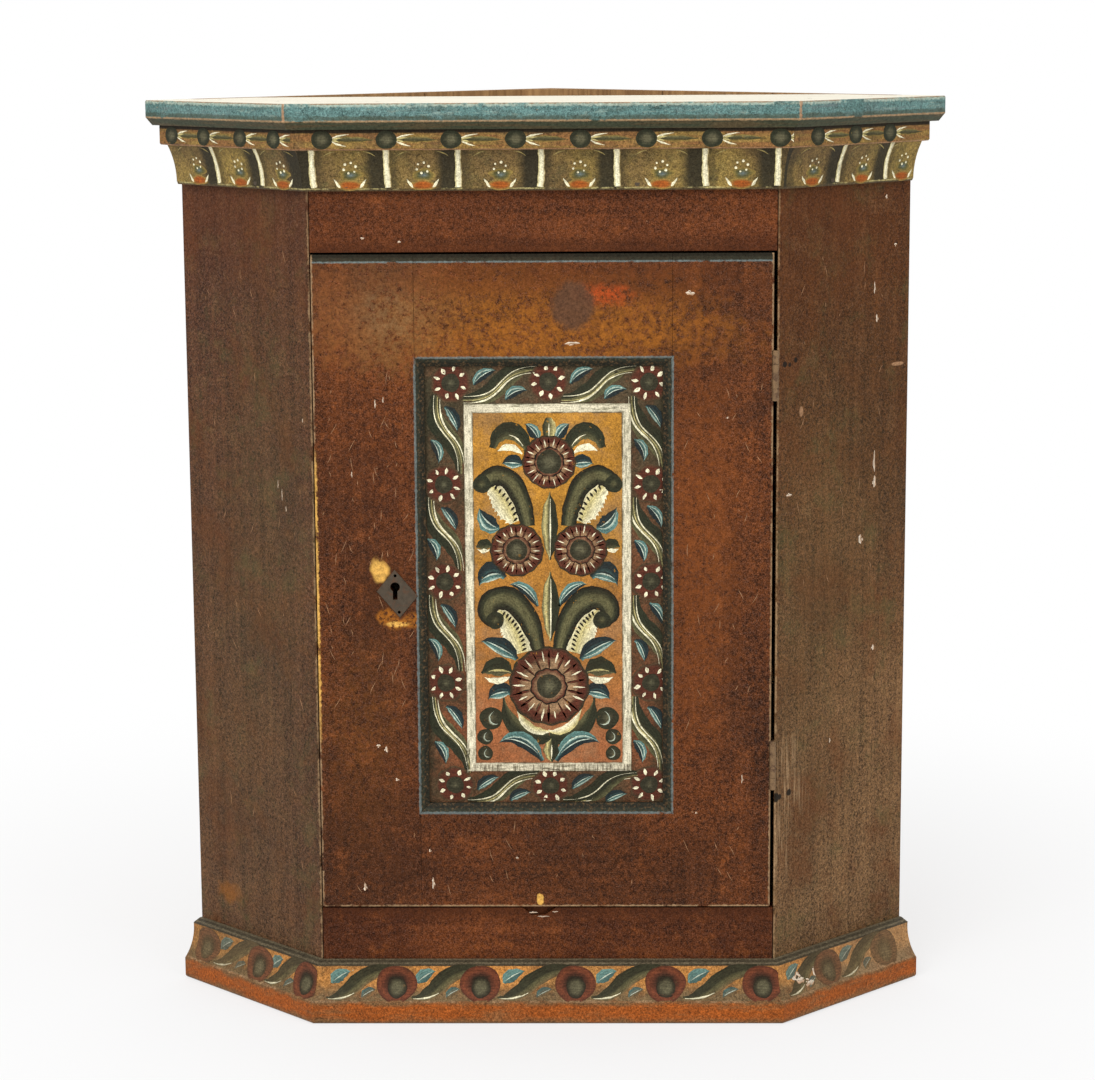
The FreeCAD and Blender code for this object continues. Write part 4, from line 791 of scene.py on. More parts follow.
def base_finish(side):
    """One length of the base moulding: a grey-brown neck, an ochre frieze and an orange fillet."""
    finish = Finish(f"base_paint_{SIDE_NAMES[side]}")
    low = finish.wobble(finish.z, 30, 12).step(44 * MM, 28 * MM)
    ground = finish.mix(low, tone("base_ochre"), tone("base_brown"))
    finish.aged(ground, "base_brown", "base_orange", LEVEL, mottle=0.5, speckle=0.45, chips=0.4,
                chip="cream")
    if side:
        worn = finish.wobble(run_of(finish, side) * side, 24, 40).step(HALF, HALF + 120 * MM)
        finish.over(worn, "arris" if side > 0 else "base_brown", 0.4)
    finish.over(finish.wobble(finish.z, 80, 0.7).step(BASE_NECK - 1.2 * MM, BASE_NECK), "base_neck")
    fillet = finish.wobble(finish.z, 80, 0.5).step(BASE_FILLET + 0.4 * MM, BASE_FILLET - 0.6 * MM)
    finish.over(fillet, "base_orange")
    finish.over(finish.patches(1, 0.46, 0.66, stretch=(16, 16, 70)) * fillet, "base_brown", 0.5)
    for level, reach in ((0.0, 9 * MM), (BASE_FILLET, 5 * MM)):
        grime = finish.wobble(abs(finish.z - level), 34, 7).step(reach, 0)
        finish.over(grime * fillet, "base_brown", 0.8)
    finish.over(finish.line(abs(finish.z - BASE_FILLET), 0.5, 0.8), "arris", 0.5)
    # A dark line at the foot of the neck, and painted shadow under the bottom rail along the top edge.
    for level in (BASE_NECK, BASE_HIGH - 1 * MM):
        finish.over(finish.line(abs(finish.z - level), 0.36, 0.6), "ink", 0.6)
    finish.varnish(0.6)
    return finish.done(relief=0.3, gloss=0.08)


def pine_finish(name, grain):
    """Bare pine."""
    finish = Finish(name)
    finish.start(finish.pine(grain))
    return finish.done(relief=0.3, gloss=0.15)


def metal_finish(name, base, shine):
    """Hammered metal with patches of rust."""
    finish = Finish(name)
    metal = finish.use("hammered_metal", Base=tone(base), Patch=tone("rust"), Rough=0.5, Shine=shine)
    finish.start(metal)
    finish.feed(finish.shader.inputs["Metallic"], finish.take(metal, "Metallic"))
    return finish.done(relief=0.35, gloss=0.2)


def brush_finish(name, loss, dirt):
    """Brush strokes: each stroke's own paint with bristle marks, worn through to the ground in places."""
    finish = Finish(name)
    paint = finish.take(finish.add("ShaderNodeAttribute", attribute_name="paint"), "Color")
    drawn = finish.take(finish.add("ShaderNodeUVMap", uv_map="stroke"))
    finish.start(finish.use("brush_marks", Drawn=drawn, Paint=paint, Loss=tone(loss)))
    finish.varnish(dirt)
    return finish.done(relief=0.12, gloss=0.08)


def between(values, place):
    """Values at even places from 0 to 1, joined by easy curves."""
    at = place * (len(values) - 1)
    index = min(int(at), len(values) - 2)
    ease = 0.5 - 0.5 * math.cos(math.pi * (at - index))
    return values[index] * (1 - ease) + values[index + 1] * ease


def bend(points, place):
    """A point of the smooth curve that a row of control points draws."""
    row = [Vector(point) for point in points]
    while len(row) > 1:
        row = [first.lerp(second, place) for first, second in zip(row, row[1:])]
    return row[0]


def ahead_on(points, place, reach):
    """The way that the curve runs at a place."""
    return bend(points, min(place + reach, 1)) - bend(points, max(place - reach, 0))


# Paints of a blue leaf, from its dark upper edge to its light lower one.
BLUE_LEAF = ("leaf_navy", "leaf_navy", "leaf_blue", "leaf_teal")


class Brushwork:
    """Brush strokes of one piece, laid on a surface that turns (across, up, lift) into a place."""

    def __init__(self, surface, seed):
        self.surface = surface
        self.mesh = bmesh.new()
        self.paint = self.mesh.verts.layers.float_color.new("paint")
        self.drawn = self.mesh.loops.layers.uv.new("stroke")
        self.chance = random.Random(seed)
        self.count = 0
        self.ground = None
        self.faded = 0.0

    def lift(self, coat):
        """Each coat lies over the last one, and neighbours of one coat a hair apart."""
        sizes = bpy.context.scene.cabinet_sizes
        self.count += 1
        return sizes.stroke_lift + sizes.coat_step * (coat + 0.1 * (self.count % 7))

    def paints(self, names):
        """Linear paints of a dab, at least two, faded towards the ground where the work is worn."""
        found = [Vector(tone(name)) for name in names]
        if self.faded:
            found = [paint.lerp(Vector(tone(self.ground)), self.faded) for paint in found]
        return found * 2 if len(found) == 1 else found

    def astray(self, points, reach):
        """Points moved together a little, as no two dabs of a hand fall alike."""
        shift = Vector((self.chance.uniform(-reach, reach), self.chance.uniform(-reach, reach)))
        return [Vector(point) + shift for point in points]

    def lay(self, steps, across, tones, coat, shape):
        """Lay a dab: shape gives each point of a grid its place, share of the paints and bristle mark."""
        verts = bmesh.ops.create_grid(self.mesh, x_segments=steps, y_segments=across, size=1.0)["verts"]
        paints = self.paints(tones)
        lift = self.lift(coat)
        marks = {}
        for vert in verts:
            place, share, marks[vert] = shape(vert.co.x, vert.co.y)
            vert[self.paint] = between(paints, share)
            vert.co = self.surface(place.x * MM, place.y * MM, lift)
        for face in {face for vert in verts for face in vert.link_faces}:
            for loop in face.loops:
                loop[self.drawn].uv = marks[loop.vert]

    def stroke(self, points, widths, tones, coat=0, steps=10, across=4):
        """A stroke along control points, with widths at even places and paints from left edge to right."""
        spread = sum((Vector(b) - Vector(a)).length for a, b in zip(points, points[1:]))
        first, second = self.chance.uniform(0, math.tau), self.chance.uniform(0, math.tau)

        def shape(length, aside):
            along = 0.5 - 0.5 * math.cos(math.pi * (length + 1) / 2)
            ahead = ahead_on(points, along, 0.01)
            left = Vector((-ahead.y, ahead.x)).normalized()
            half = max(between(widths, along), 0.12) / 2
            reach = along * spread
            shake = math.sin(reach * 0.8 + first + aside) + 0.7 * math.sin(reach * 1.9 + second - aside)
            half = max(half + (0.2 + 0.03 * half) * shake * min(half, 1), 0.05)
            place = bend(points, along) + left * (-aside * half)
            return place, (aside + 1) / 2, (reach * MM, aside * half * MM)

        self.lay(steps, across, tones, coat, shape)

    def disc(self, centre, radius, tones, coat=0, lobes=3, squash=1.0, wave=0.03, cells=8):
        """A round dab with paints from its middle to its rim, its edge waved in lobes."""
        turn = self.chance.uniform(0, math.tau)

        def shape(x, y):
            spot = Vector((x * math.sqrt(1 - y * y / 2), y * math.sqrt(1 - x * x / 2)))
            angle = math.atan2(spot.y, spot.x)
            ripple = math.sin(lobes * angle + turn) + 0.6 * math.sin(5 * angle + 2 * turn)
            offset = Vector((spot.x, spot.y * squash)) * radius * (1 + wave * spot.length * ripple)
            return Vector(centre) + offset, min(spot.length, 1), offset * MM

        self.lay(cells, cells, tones, coat, shape)

    def rays(self, centre, inner, outer, count, width, paint, coat, start=0.0):
        """Short strokes round a flower, a little uneven as a hand makes them."""
        for index in range(count):
            angle = start + math.tau * (index + self.chance.uniform(-0.12, 0.12)) / count
            way = Vector((math.cos(angle), math.sin(angle)))
            first, last = inner * self.chance.uniform(0.95, 1.1), outer * self.chance.uniform(0.9, 1.03)
            ends = [Vector(centre) + way * first, Vector(centre) + way * last]
            wide = width * self.chance.uniform(0.8, 1.2)
            self.stroke(ends, (wide * 0.3, wide, wide * 0.9, wide * 0.2), (paint,), coat, 5, 2)

    def leaf(self, start, belly, tip, width, side=1, coat=0, tones=BLUE_LEAF):
        """A leaf from start to tip: dark upper edge, light lower edge on the given side, and veins."""
        points = (Vector(start), Vector(belly), Vector(tip))
        shape = (width * 0.25, width * 0.9, width, width * 0.66, 0)
        self.stroke(points, shape, tones if side > 0 else tones[::-1], coat, 12, 6)

        def line(places, widths, paints, steps):
            spots = []
            for place, share in places:
                ahead = ahead_on(points, place, 0.02)
                across = Vector((ahead.y, -ahead.x)).normalized() * side
                spots.append(bend(points, place) + across * between(shape, place) * share)
            self.stroke(spots, widths, paints, coat + 1, steps, 2)

        line(((0.12, 0.02), (0.5, 0.06), (0.85, 0.02)), (0.3, width * 0.09, 0.3), ("leaf_pale",), 8)
        if len(tones) > 2:
            line(((0.06, 0.2), (0.3, 0.46), (0.6, 0.5), (0.93, 0.2)), (0.4, width * 0.13, width * 0.14, 0.3),
                 ("leaf_pale", "leaf_teal"), 9)
            line(((0.14, -0.1), (0.5, -0.06), (0.85, -0.08)), (0.3, width * 0.1, 0.3), ("leaf_navy",), 7)

    def piece(self, name, material, body, slot):
        """Make the strokes one object with a thin body of paint, and let it ride."""
        data = bpy.data.meshes.new(name)
        bmesh.ops.recalc_face_normals(self.mesh, faces=self.mesh.faces)
        self.mesh.to_mesh(data)
        self.mesh.free()
        piece = bpy.data.objects.new(name, data)
        bpy.context.scene.collection.objects.link(piece)
        data.materials.append(material)
        body_of_paint = piece.modifiers.new("paint body", "SOLIDIFY")
        body_of_paint.thickness = bpy.context.scene.cabinet_sizes.stroke_body
        body_of_paint.offset = -1
        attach(piece, body)


def panel_surface(across, up, lift):
    """The face of the panel inside the door frame: flat on the field, sloping away under its border."""
    left, low, right, high = SIGHT
    room = SIGHT_BEVEL + 0.6 * MM
    x = min(max(FIELD_X + across, left + room), right - room)
    z = min(max(FIELD_Z + up, low + room), high - room)
    outside = max(abs(x - FIELD_X) - FIELD_HALF[0], abs(z - FIELD_Z) - FIELD_HALF[1])
    depth = 0.0
    if outside > 0:
        slope = BORDER_FALL / (PANEL_BEVEL - PANEL_TONGUE)
        depth = FIELD_STEP + min(outside * slope, BORDER_FALL)
    return Vector((x, PANEL_LOW.y + depth - lift, z))


def hollow(height, cove):
    """How far a cove stands out at a height."""
    (low_out, low), (high_out, high), radius = cove
    chord = Vector((high_out - low_out, high - low))
    rise = math.sqrt(radius ** 2 - (chord.length / 2) ** 2)
    outward = Vector((chord.y, -chord.x)).normalized() * rise
    centre = Vector(((low_out + high_out) / 2, (low + high) / 2)) + outward
    return centre.x - math.sqrt(max(radius ** 2 - (height - centre.y) ** 2, 0))


def cornice_out(height):
    """How far the cornice stands out at a height."""
    return CORNICE_FILLET if height > FILLET_LOW else hollow(height, CORNICE_COVE)


def base_out(height):
    """How far the frieze of the base stands out at a height."""
    return hollow(max(height, BASE_FILLET), BASE_COVE)


def fillet_out(height):
    """How far the lower fillet of the base stands out, at any height."""
    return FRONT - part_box("base_moulding_front")[0].y


def flat_out(height):
    """The boards of the case don't stand out at any height."""
    return 0.0


def side_of(run):
    """Which of the three faces a place of the run is on: -1 left, 0 front, 1 right."""
    return 0 if abs(run) <= HALF / MM else int(math.copysign(1, run))


def surface_of(side, out_at):
    """A surface along a moulding or board, by the run from the middle of the front and the height."""

    def surface(run, height, lift):
        out = out_at(height) + lift
        mitre = out * math.tan(math.pi / 8) - 0.3 * MM
        if side == 0:
            return Vector((min(max(run, -HALF - mitre), HALF + mitre), FRONT - out, height))
        along = min(max(side * run - HALF, -mitre), RETURN)
        return Vector((side * (HALF + (along + out) * SLANT), FRONT + (along - out) * SLANT, height))

    return surface


def surface_at(run, out_at):
    """The surface of whichever face a place of the run is on."""
    return surface_of(side_of(run), out_at)


def door_surface(x, z, lift):
    """The flat face of the door frame."""
    return Vector((x, DOOR_FACE - lift, z))


def field_flower(brush, centre, radius, ring, eye):
    """A large flower of the field: maroon petals, a light ring in a dark scalloped line, a dark eye."""
    petals = ("flower_light",) * 6 + ("flower_red", "flower_red", "leaf_green")
    brush.disc(centre, radius, petals, 3, lobes=14, wave=0.02, cells=16)
    for inner, outer, wide, paint in ((0.44, 0.98, 0.06, "flower_red"), (0.7, 0.98, 0.2, "flower_red"),
                                      (0.42, 0.76, 0.022, "leaf_green")):
        brush.rays(centre, radius * inner, radius * outer, 14, radius * wide, paint, 4, start=0.22)
    brush.rays(centre, radius * 0.6, radius * 0.92, 14, radius * 0.042, "cream", 5)
    light = ("flower_light", "flower_light", "flower_light", "flower_red")
    brush.disc(centre, radius * ring, ("ink",), 5, lobes=11, wave=0.04, cells=10)
    brush.disc(centre, radius * (ring - 0.035), light, 6, lobes=11, wave=0.04, cells=10)
    brush.disc(centre, radius * eye, ("flower_eye", "flower_eye", "flower_heart", "flower_heart"), 7)


def border_flower(brush, centre):
    """A small flower of the border: a dull red disc, cream dabs, a round dark eye."""
    petals = ("ink", "flower_red", "flower_red", "flower_red", "flower_red", "border_brown")
    brush.disc(centre, 19.5, petals, 3, lobes=8, wave=0.035, cells=10)
    brush.rays(centre, 10.6, 17.6, 8, 3.5, "cream", 4, start=brush.chance.uniform(0.2, 0.6))
    brush.disc(centre, 8.9, ("flower_eye", "flower_heart", "flower_heart"), 5)


# The border's scroll between two flowers, as (share of the way, millimetres aside): body and two leaves.
SCROLL_BODY = ((0.13, -15), (0.6, -17), (0.42, 13), (0.88, 14))
SCROLL_LEAVES = (((0.23, -3), (0.3, 11), (0.46, 11)), ((0.57, -17), (0.63, -5), (0.79, -8)))


def border_scroll(brush, start, stop, light):
    """An S-shaped leaf from one border flower to the next, fine lines on its light side, two blue leaves."""
    first, last = Vector(start), Vector(stop)
    along = last - first
    aside = Vector((-along.y, along.x)).normalized()

    def spots(places, out=0.0):
        return [first + along * share + aside * (reach + out) for share, reach in places]

    tones = ("leaf_green", "leaf_green", "leaf_green", "leaf_olive")
    brush.stroke(spots(SCROLL_BODY), (6, 18, 20, 18, 5), tones if light < 0 else tones[::-1], 0, 20, 6)
    brush.stroke(spots(SCROLL_BODY, light * 2.5), (1, 6, 7, 6, 1), ("leaf_olive",), 1, 18, 4)
    for out, width, paint in ((5.6, 1.7, "cream"), (2.9, 0.8, "yellow"), (-0.4, 1.1, "cream")):
        line = brush.astray(spots(SCROLL_BODY, light * out), 0.6)
        brush.stroke(line, (0.4, width, width, width * 0.6, 0.3), (paint,), 2, 20, 2)
    for leaf in SCROLL_LEAVES:
        brush.leaf(*brush.astray(spots(leaf), 1.2), 10.5, brush.chance.choice((-1, 1)), 3)


def plume(brush, flip, spine, widths, inside, swell, dashes):
    """A dark feather with a curled head, a fringed cream heart, and dark dashes along the join."""
    back, heart = ([Vector((flip * x, y)) for x, y in points] for points in (spine, inside))
    brush.stroke(heart, swell, ("cream", "yellow", "cream"), 1, 14, 4)
    feather = ("ink", "leaf_green", "leaf_olive", "leaf_olive", "leaf_green", "ink")
    brush.stroke(back, widths, feather, 2, 24, 8)
    brush.disc(back[-1], widths[-1] * 0.52, ("leaf_olive", "leaf_green", "leaf_green"), 2)

    def join(place, share):
        ahead = ahead_on(heart, place, 0.03).normalized()
        way = Vector((-ahead.y, ahead.x)) * flip
        return bend(heart, place) + way * between(swell, place) * share, way, ahead

    for index in range(dashes):
        place = 0.06 + 0.86 * index / dashes
        root, way, ahead = join(place, 0.22)
        brush.stroke((root, root - way * 4.8 - ahead * 1.6), (1.6, 2.3, 0.5), ("ink",), 3, 4, 2)
        brush.disc(root + way * 4.6 + ahead * 2, 0.9, ("ink",), 3, cells=2)
        fringe, way, ahead = join(place + 0.03, -0.47)
        ends = (fringe + way * 2, fringe - way * 2.6 - ahead * 1.4)
        brush.stroke(ends, (2.4, 2.8, 0.4), ("cream",), 0, 4, 2)


# The right half of the nosegay, in millimetres from the middle of the field. A feather is its spine and
# widths, its heart and swell, and a count of dashes; a leaf is its start, belly, tip, width and light side.
PLUMES = (
    (((20, 64), (24, 100), (43, 130), (65, 106)), (15, 18, 20, 20, 17),
     ((32, 68), (39, 84), (46, 98), (60, 108)), (12, 24, 25, 19, 6), 8),
    (((10, -64), (16, -26), (30, 6), (62, 2), (70, -26), (53, -31)), (13, 21, 25, 24, 20, 17),
     ((26, -64), (31, -45), (38, -28), (51, -20)), (21, 27, 25, 17, 5), 11),
)
FIELD_LEAVES = (
    ((9, 150), (13, 161), (22, 166), 12, -1), ((25, 125), (35, 132), (45, 126), 14, 1),
    ((48, 63), (62, 62), (68, 83), 18, 1), ((43, 12), (60, 30), (69, 3), 20, 1),
    ((11, -17), (21, 8), (39, 5), 11, -1), ((32, -71), (46, -52), (68, -52), 17, 1),
    ((38, -106), (50, -96), (61, -112), 17, 1), ((7, -175), (28, -138), (51, -157), 16, -1),
)
# Berries as x, height and radius.
FIELD_BERRIES = ((58, -131, 11.5), (64, -150, 8), (64, -167, 7.5))
# Strokes as points, widths, paints, coat, steps and strips; without paints they take the leaf greens.
UPPER_SPRAY = (
    (((19, 139), (25, 163), (48, 168), (54, 142)), (8, 15, 18, 15, 7), None, 1, 14, 6),
    (((25, 136), (37, 148), (49, 139)), (1.5, 6.5, 7, 1), ("cream",), 2, 10, 3),
    (((24, 144), (30, 154), (38, 155)), (0.4, 1.5, 0.3), ("cream",), 2, 7, 2),
)
LOWER_SPRAY = (
    (((37, -84), (52, -72), (67, -85)), (4, 18, 20, 14, 2), None, 1, 12, 6),
    (((38, -88), (52, -97), (64, -89)), (1, 6.5, 6, 0.5), ("cream",), 2),
    (((38, -84), (50, -80), (60, -83)), (0.4, 2.6, 0.4), ("yellow",), 2, 8, 2),
    (((56, 44), (63, 48), (71, 43)), (4, 11, 10, 2), None, 1),
    (((57, 41), (64, 37), (70, 41)), (0.5, 4.5, 0.5), ("cream",), 2),
    (((45, -110), (44, -147), (18, -152), (0, -150)), (2, 14, 17, 17, 13), None, 0, 18, 6),
    (((32, -122), (26, -140), (12, -148), (-1, -144)), (1, 8, 8, 2), ("yellow", "cream"), 1, 14),
)
TOP_BUD = (
    (((1.6, 151), (1.6, 160), (1.6, 172)), (6, 13, 13.5, 6), ("leaf_green", "leaf_olive", "yellow"),
     1, 10, 6),
    (((1.6, 153), (1.6, 166)), (0.5, 1.7, 0.5), ("cream",), 2, 6, 2),
)


def paint_strokes(brush, rows, middle=0, flip=1, greens=None):
    """Strokes of a table on one side of a middle: the right side, or the left one where flip is -1."""
    for points, widths, tones, *rest in rows:
        brush.stroke([(middle + flip * x, y) for x, y in points], widths, tones or greens, *rest)


def paint_field(brush):
    """The nosegay of the field, the same on both sides of its middle."""
    for flip in (-1, 1):
        greens = ("leaf_green", "leaf_green", "leaf_olive")[::flip]
        for feather in PLUMES:
            plume(brush, flip, *feather)
        paint_strokes(brush, UPPER_SPRAY, 0, flip, greens)
        for start, belly, tip, width, side in FIELD_LEAVES:
            ends = [(flip * x, y) for x, y in (start, belly, tip)]
            brush.leaf(*ends, width, side * flip, 1)
        paint_strokes(brush, LOWER_SPRAY, 0, flip, greens)
        for x, y, radius in FIELD_BERRIES:
            brush.disc((flip * x, y), radius, ("flower_eye", "flower_heart", "leaf_green"), 1)
            glint = ((-0.2, 0.6), (0.6, 0.0), (0.0, -0.8), (-0.6, -0.5))
            crescent = [(flip * (x + right * radius), y + up * radius) for right, up in glint]
            widths = (0.3, 0.16 * radius, 0.2 * radius, 0.3)
            brush.stroke(crescent, widths, ("leaf_pale", "leaf_olive"), 2, 9, 2)
        field_flower(brush, (flip * 31.5 + 0.5, 40), 26.5, 0.54, 0.4)
    blade = ("leaf_olive", "yellow", "leaf_olive", "leaf_green", "leaf_green", "leaf_green")
    for low, high, width in ((30, 98, 17), (-52, 18, 18), (-176, -152, 16)):
        middle = (low + high) / 2
        widths = (2, width * 0.75, width, width * 0.8, 1)
        brush.stroke(((2, low), (2, middle), (2, high)), widths, blade, 1, 14, 10)
        vein = ((2, low + 3), (2.5, middle), (2.5, high - 0.4 * width))
        brush.stroke(vein, (0.6, 1.5, 0.4), ("cream",), 2, 8, 2)
    paint_strokes(brush, TOP_BUD)
    field_flower(brush, (1.5, 128), 26.5, 0.56, 0.46)
    field_flower(brush, (0, -98), 40, 0.46, 0.31)


def paint_border(brush):
    """Flowers round the border, joined by scrolls that all lean one way."""
    levels = (206, 105, 7, -96, -201)
    left = [(-95 if abs(level) > 200 else -103, level) for level in levels]
    right = [(100 if abs(level) > 200 else 102, level) for level in levels]
    for column, light in ((left, 1), (right, -1)):
        for upper, lower in zip(column, column[1:]):
            border_scroll(brush, upper, lower, light)
    for height in (207, -202):
        row = [(-95, height), (1, height), (100, height)]
        for first, second in zip(row, row[1:]):
            border_scroll(brush, first, second, -1)
        border_flower(brush, row[1])
    for place in left + right:
        border_flower(brush, place)


def paint_cornice(brush):
    """Balls with fanned strokes on the fillet; stripes, rings of dots and crescents in the cove."""
    middle = (FILLET_LOW + CORNICE_HIGH.z) / 2 / MM
    wide = bpy.context.scene.cabinet_sizes.stripe_width / MM
    for run in BALLS:
        brush.surface = surface_at(run, cornice_out)
        blade = ((run + 9, middle), (run + 28, middle + 0.8), (run + 50, middle - 0.6))
        greens = ("cove_olive", "leaf_olive", "leaf_green", "cove_olive")
        brush.stroke(blade, (2, 6, 5.4, 0.5), greens, 0, 12, 4)
        for rise, reach, tint in ((5.0, 26, "cream"), (1.8, 20, "yellow"), (-2.2, 17, "yellow"),
                                  (-6.2, 23, "cream")):
            path = ((9.5, rise * 0.25), (15, rise * 0.8), (reach, rise))
            fan = [(run + along, middle + up) for along, up in path]
            brush.stroke(fan, (0.8, 1.7, 0.3), (tint,), 1, 7, 2)
        ball = ("flower_eye", "flower_eye", "leaf_green", "leaf_green")
        brush.disc((run, middle), 10.2, ball, 2, squash=0.87, wave=0.02)
    for run in STRIPES:
        brush.surface = surface_at(run, cornice_out)
        lean = brush.chance.uniform(-1.2, 1.2)
        stripe = ((run + lean, 841.5), (run - lean, 860), (run, 878))
        widths = (wide, wide * 1.08, wide * 0.9, wide)
        brush.stroke(stripe, widths, ("yellow", "cream", "cream", "cove_olive"), 0, 14)
    cells = [(first + second) / 2 for first, second in zip(STRIPES, STRIPES[1:])]
    for run in [*cells, STRIPES[0] - 32, STRIPES[-1] + 26]:
        if abs(abs(run) - HALF / MM) > 12:
            cornice_cell(brush, run)


# The cream leaf at the foot and the yellow curl at the top of a cell's right half, as (out, height).
CELL_LEAVES = (
    (((9.5, 841.4), (12, 844), (15.5, 849.5)), (0.6, 2.8, 2.2, 0.4), ("cream",), 2, 7, 3),
    (((25, 872), (20, 876), (14, 876.6)), (0.3, 1.1, 0.3), ("cove_olive", "yellow"), 0, 7, 2),
)


def cornice_cell(brush, run):
    """One cell of the cove: a ring of dots over a bluish smudge, a red crescent and two cream leaves."""
    brush.surface = surface_at(run, cornice_out)
    brush.disc((run + 1, 853.5), 11, ("slate", "cove_moss", "cove_olive"), 0, squash=0.55, wave=0.12)
    for index in range(6):
        angle = math.tau * index / 6 + 0.3
        dot = (run + 6 * math.cos(angle), 860.5 + 5.2 * math.sin(angle))
        brush.disc(dot, brush.chance.uniform(0.9, 1.4), ("cream",), 1, cells=3)
    brush.disc((run, 843.6), 13, ("base_orange", "base_orange", "cove_olive"), 1, squash=0.38, wave=0.06)
    for flip in (-1, 1):
        paint_strokes(brush, CELL_LEAVES, run, flip)


def worn_away(side, run):
    """How far the base's painting has gone at a run: little in front, most at the ends of the returns."""
    return {0: 0.06, 1: 0.35, -1: 0.1}[side] + max(abs(run) - HALF / MM, 0) / 400


def paint_base(brush):
    """A running vine on the frieze: rosettes, dark S-leaves between them, and blue leaves."""
    brush.ground = "base_brown"
    for side, rosettes in ROSETTES.items():
        brush.surface = surface_of(side, base_out)
        for run in SCROLL_STARTS[side]:
            brush.faded = worn_away(side, run)
            reach = min(place for place in rosettes if place > run) - run
            base_scroll(brush, run, reach / SCROLL_LENGTH)
        for run in rosettes:
            brush.faded = worn_away(side, run)
            petals = ("ink", "ink", "ink", "flower_red", "flower_rust", "flower_red")
            brush.disc((run, 40), 20.6, petals, 3, squash=0.86, wave=0.02, cells=12)
            eye = ("flower_eye", "flower_eye", "flower_eye", "flower_heart", "ink")
            brush.disc((run + 0.6, 36), 9.8, eye, 4)


def base_scroll(brush, run, stretch):
    """The S-leaf that leaves one rosette low and reaches the next one high, with its two blue leaves."""

    def at(*points):
        return [(run + along * stretch, height) for along, height in points]

    body = ("leaf_green", "leaf_green", "leaf_green", "leaf_olive", "base_brown")
    brush.stroke(at((16, 27), (46, 25), (46, 55), (84, 54)), (2, 12, 17, 16, 10), body, 0, 18, 6)
    brush.stroke(at((18, 26), (34, 25), (45, 31)), (0.4, 1.5, 0.4), ("cream",), 1, 9, 2)
    brush.leaf(*at((22, 40), (27, 50), (42, 52)), 13, 1, 1, ("leaf_teal", "leaf_blue"))
    brush.leaf(*at((53, 27), (58, 34), (68, 34)), 8, 1, 0, ("leaf_blue", "base_brown"))


# Splashes and chips, as (run, height, width, height of the mark).
CASE_FLECKS = (
    (378, 555, 3, 22), (379, 534, 5, 12), (247, 535, 8, 3), (357, 477, 6, 9), (380, 361, 4, 6),
    (313, 274, 2, 5), (379, 701, 3, 8), (375, 732, 2, 12), (407, 774, 4, 3), (392, 823, 3, 4),
    (-278, 534, 1.2, 12), (-284, 544, 1, 9), (-272, 520, 1.2, 6), (-243, 612, 1.4, 4),
    (-176, 792, 4, 2), (-140, 788, 3, 2), (-14, 110, 9, 1.4), (-4, 106, 12, 1.2), (8, 111, 6, 1.2))
BASE_FLECKS = ((246, 44, 10, 12), (254, 36, 12, 8), (265, 31, 15, 6), (286, 45, 4, 8), (276, 40, 4, 9))
DOOR_FLECKS = (
    (-166, 630, 1.4, 9), (-158, 634, 1.2, 6), (-168, 285, 4, 3), (-160, 281, 3, 6), (-184, 138, 3, 8),
    (-115, 142, 2.4, 12), (28, 689, 15, 3), (143, 737, 9, 4), (-190, 560, 1.2, 6), (-150, 250, 3, 3),
    (150, 215, 2, 2), (-118, 176, 2, 3), (196, 250, 1.4, 9), (180, 615, 2, 2), (-30, 168, 3, 2))
# Scratched areas, as (low run, low height, high run, high height, count).
CASE_SCRATCHES = ((245, 120, 415, 790, 26), (-415, 120, -240, 790, 22))
DOOR_SCRATCHES = ((-221, 320, -134, 655, 54), (134, 230, 218, 650, 26), (-210, 128, 210, 198, 22))


def lay_flecks(brush, marks, surface_for):
    """Ragged marks: each is a crooked stroke with a smaller one broken off beside it."""
    for run, height, wide, tall in marks:
        brush.surface = surface_for(run)
        reach, thick = max(wide, tall), min(wide, tall)
        way = Vector((1, 0)) if wide > tall else Vector((0, 1))
        across = Vector((way.y, -way.x))
        middle = Vector((run, height))
        crook = across * brush.chance.uniform(-0.3, 0.3) * thick
        mark = (middle - way * reach / 2 - crook, middle + crook, middle + way * reach / 2 - crook * 0.4)
        widths = [thick * share for share in (0.2, 0.9, 0.5, 0.8, 0.2)]
        brush.stroke(mark, widths, ("fleck", "chip"), 0, 9, 2)
        aside = across * brush.chance.choice((-1, 1)) * thick * 0.7
        crumb = (middle + aside - way * reach * 0.2, middle + aside * 0.6 + way * reach * 0.1)
        brush.stroke(crumb, (thick * 0.2, thick * 0.4, thick * 0.1), ("fleck", "chip"), 1, 5, 2)


def lay_scratches(brush, areas, surface_for):
    """Hair-thin scratches strewn over parts of a face."""
    for left, low, right, high, count in areas:
        for _ in range(count):
            start = Vector((brush.chance.uniform(left, right), brush.chance.uniform(low, high)))
            way = Vector((brush.chance.uniform(-0.7, 0.7), 1)).normalized() * brush.chance.uniform(3, 14)
            bow = Vector((brush.chance.uniform(-1.5, 1.5), 0))
            brush.surface = surface_for(start.x)
            brush.stroke((start, start + way / 2 + bow, start + way), (0.15, 0.55, 0.15), ("chip",), 0, 6, 1)


class CABINET_OT_mix_paints(bpy.types.Operator):
    """Make the shader groups that the finishes share"""

    bl_idname = "cabinet.mix_paints"
    bl_label = "Mix Paints"

    def execute(self, context):
        for make in (make_aged_paint, make_laid_paint, make_hand_edge, make_patches, make_worn_spot,
                     make_worn_line, make_pine_grain, make_cove_band, make_old_varnish,
                     make_hammered_metal, make_brush_marks):
            make()
        return {"FINISHED"}


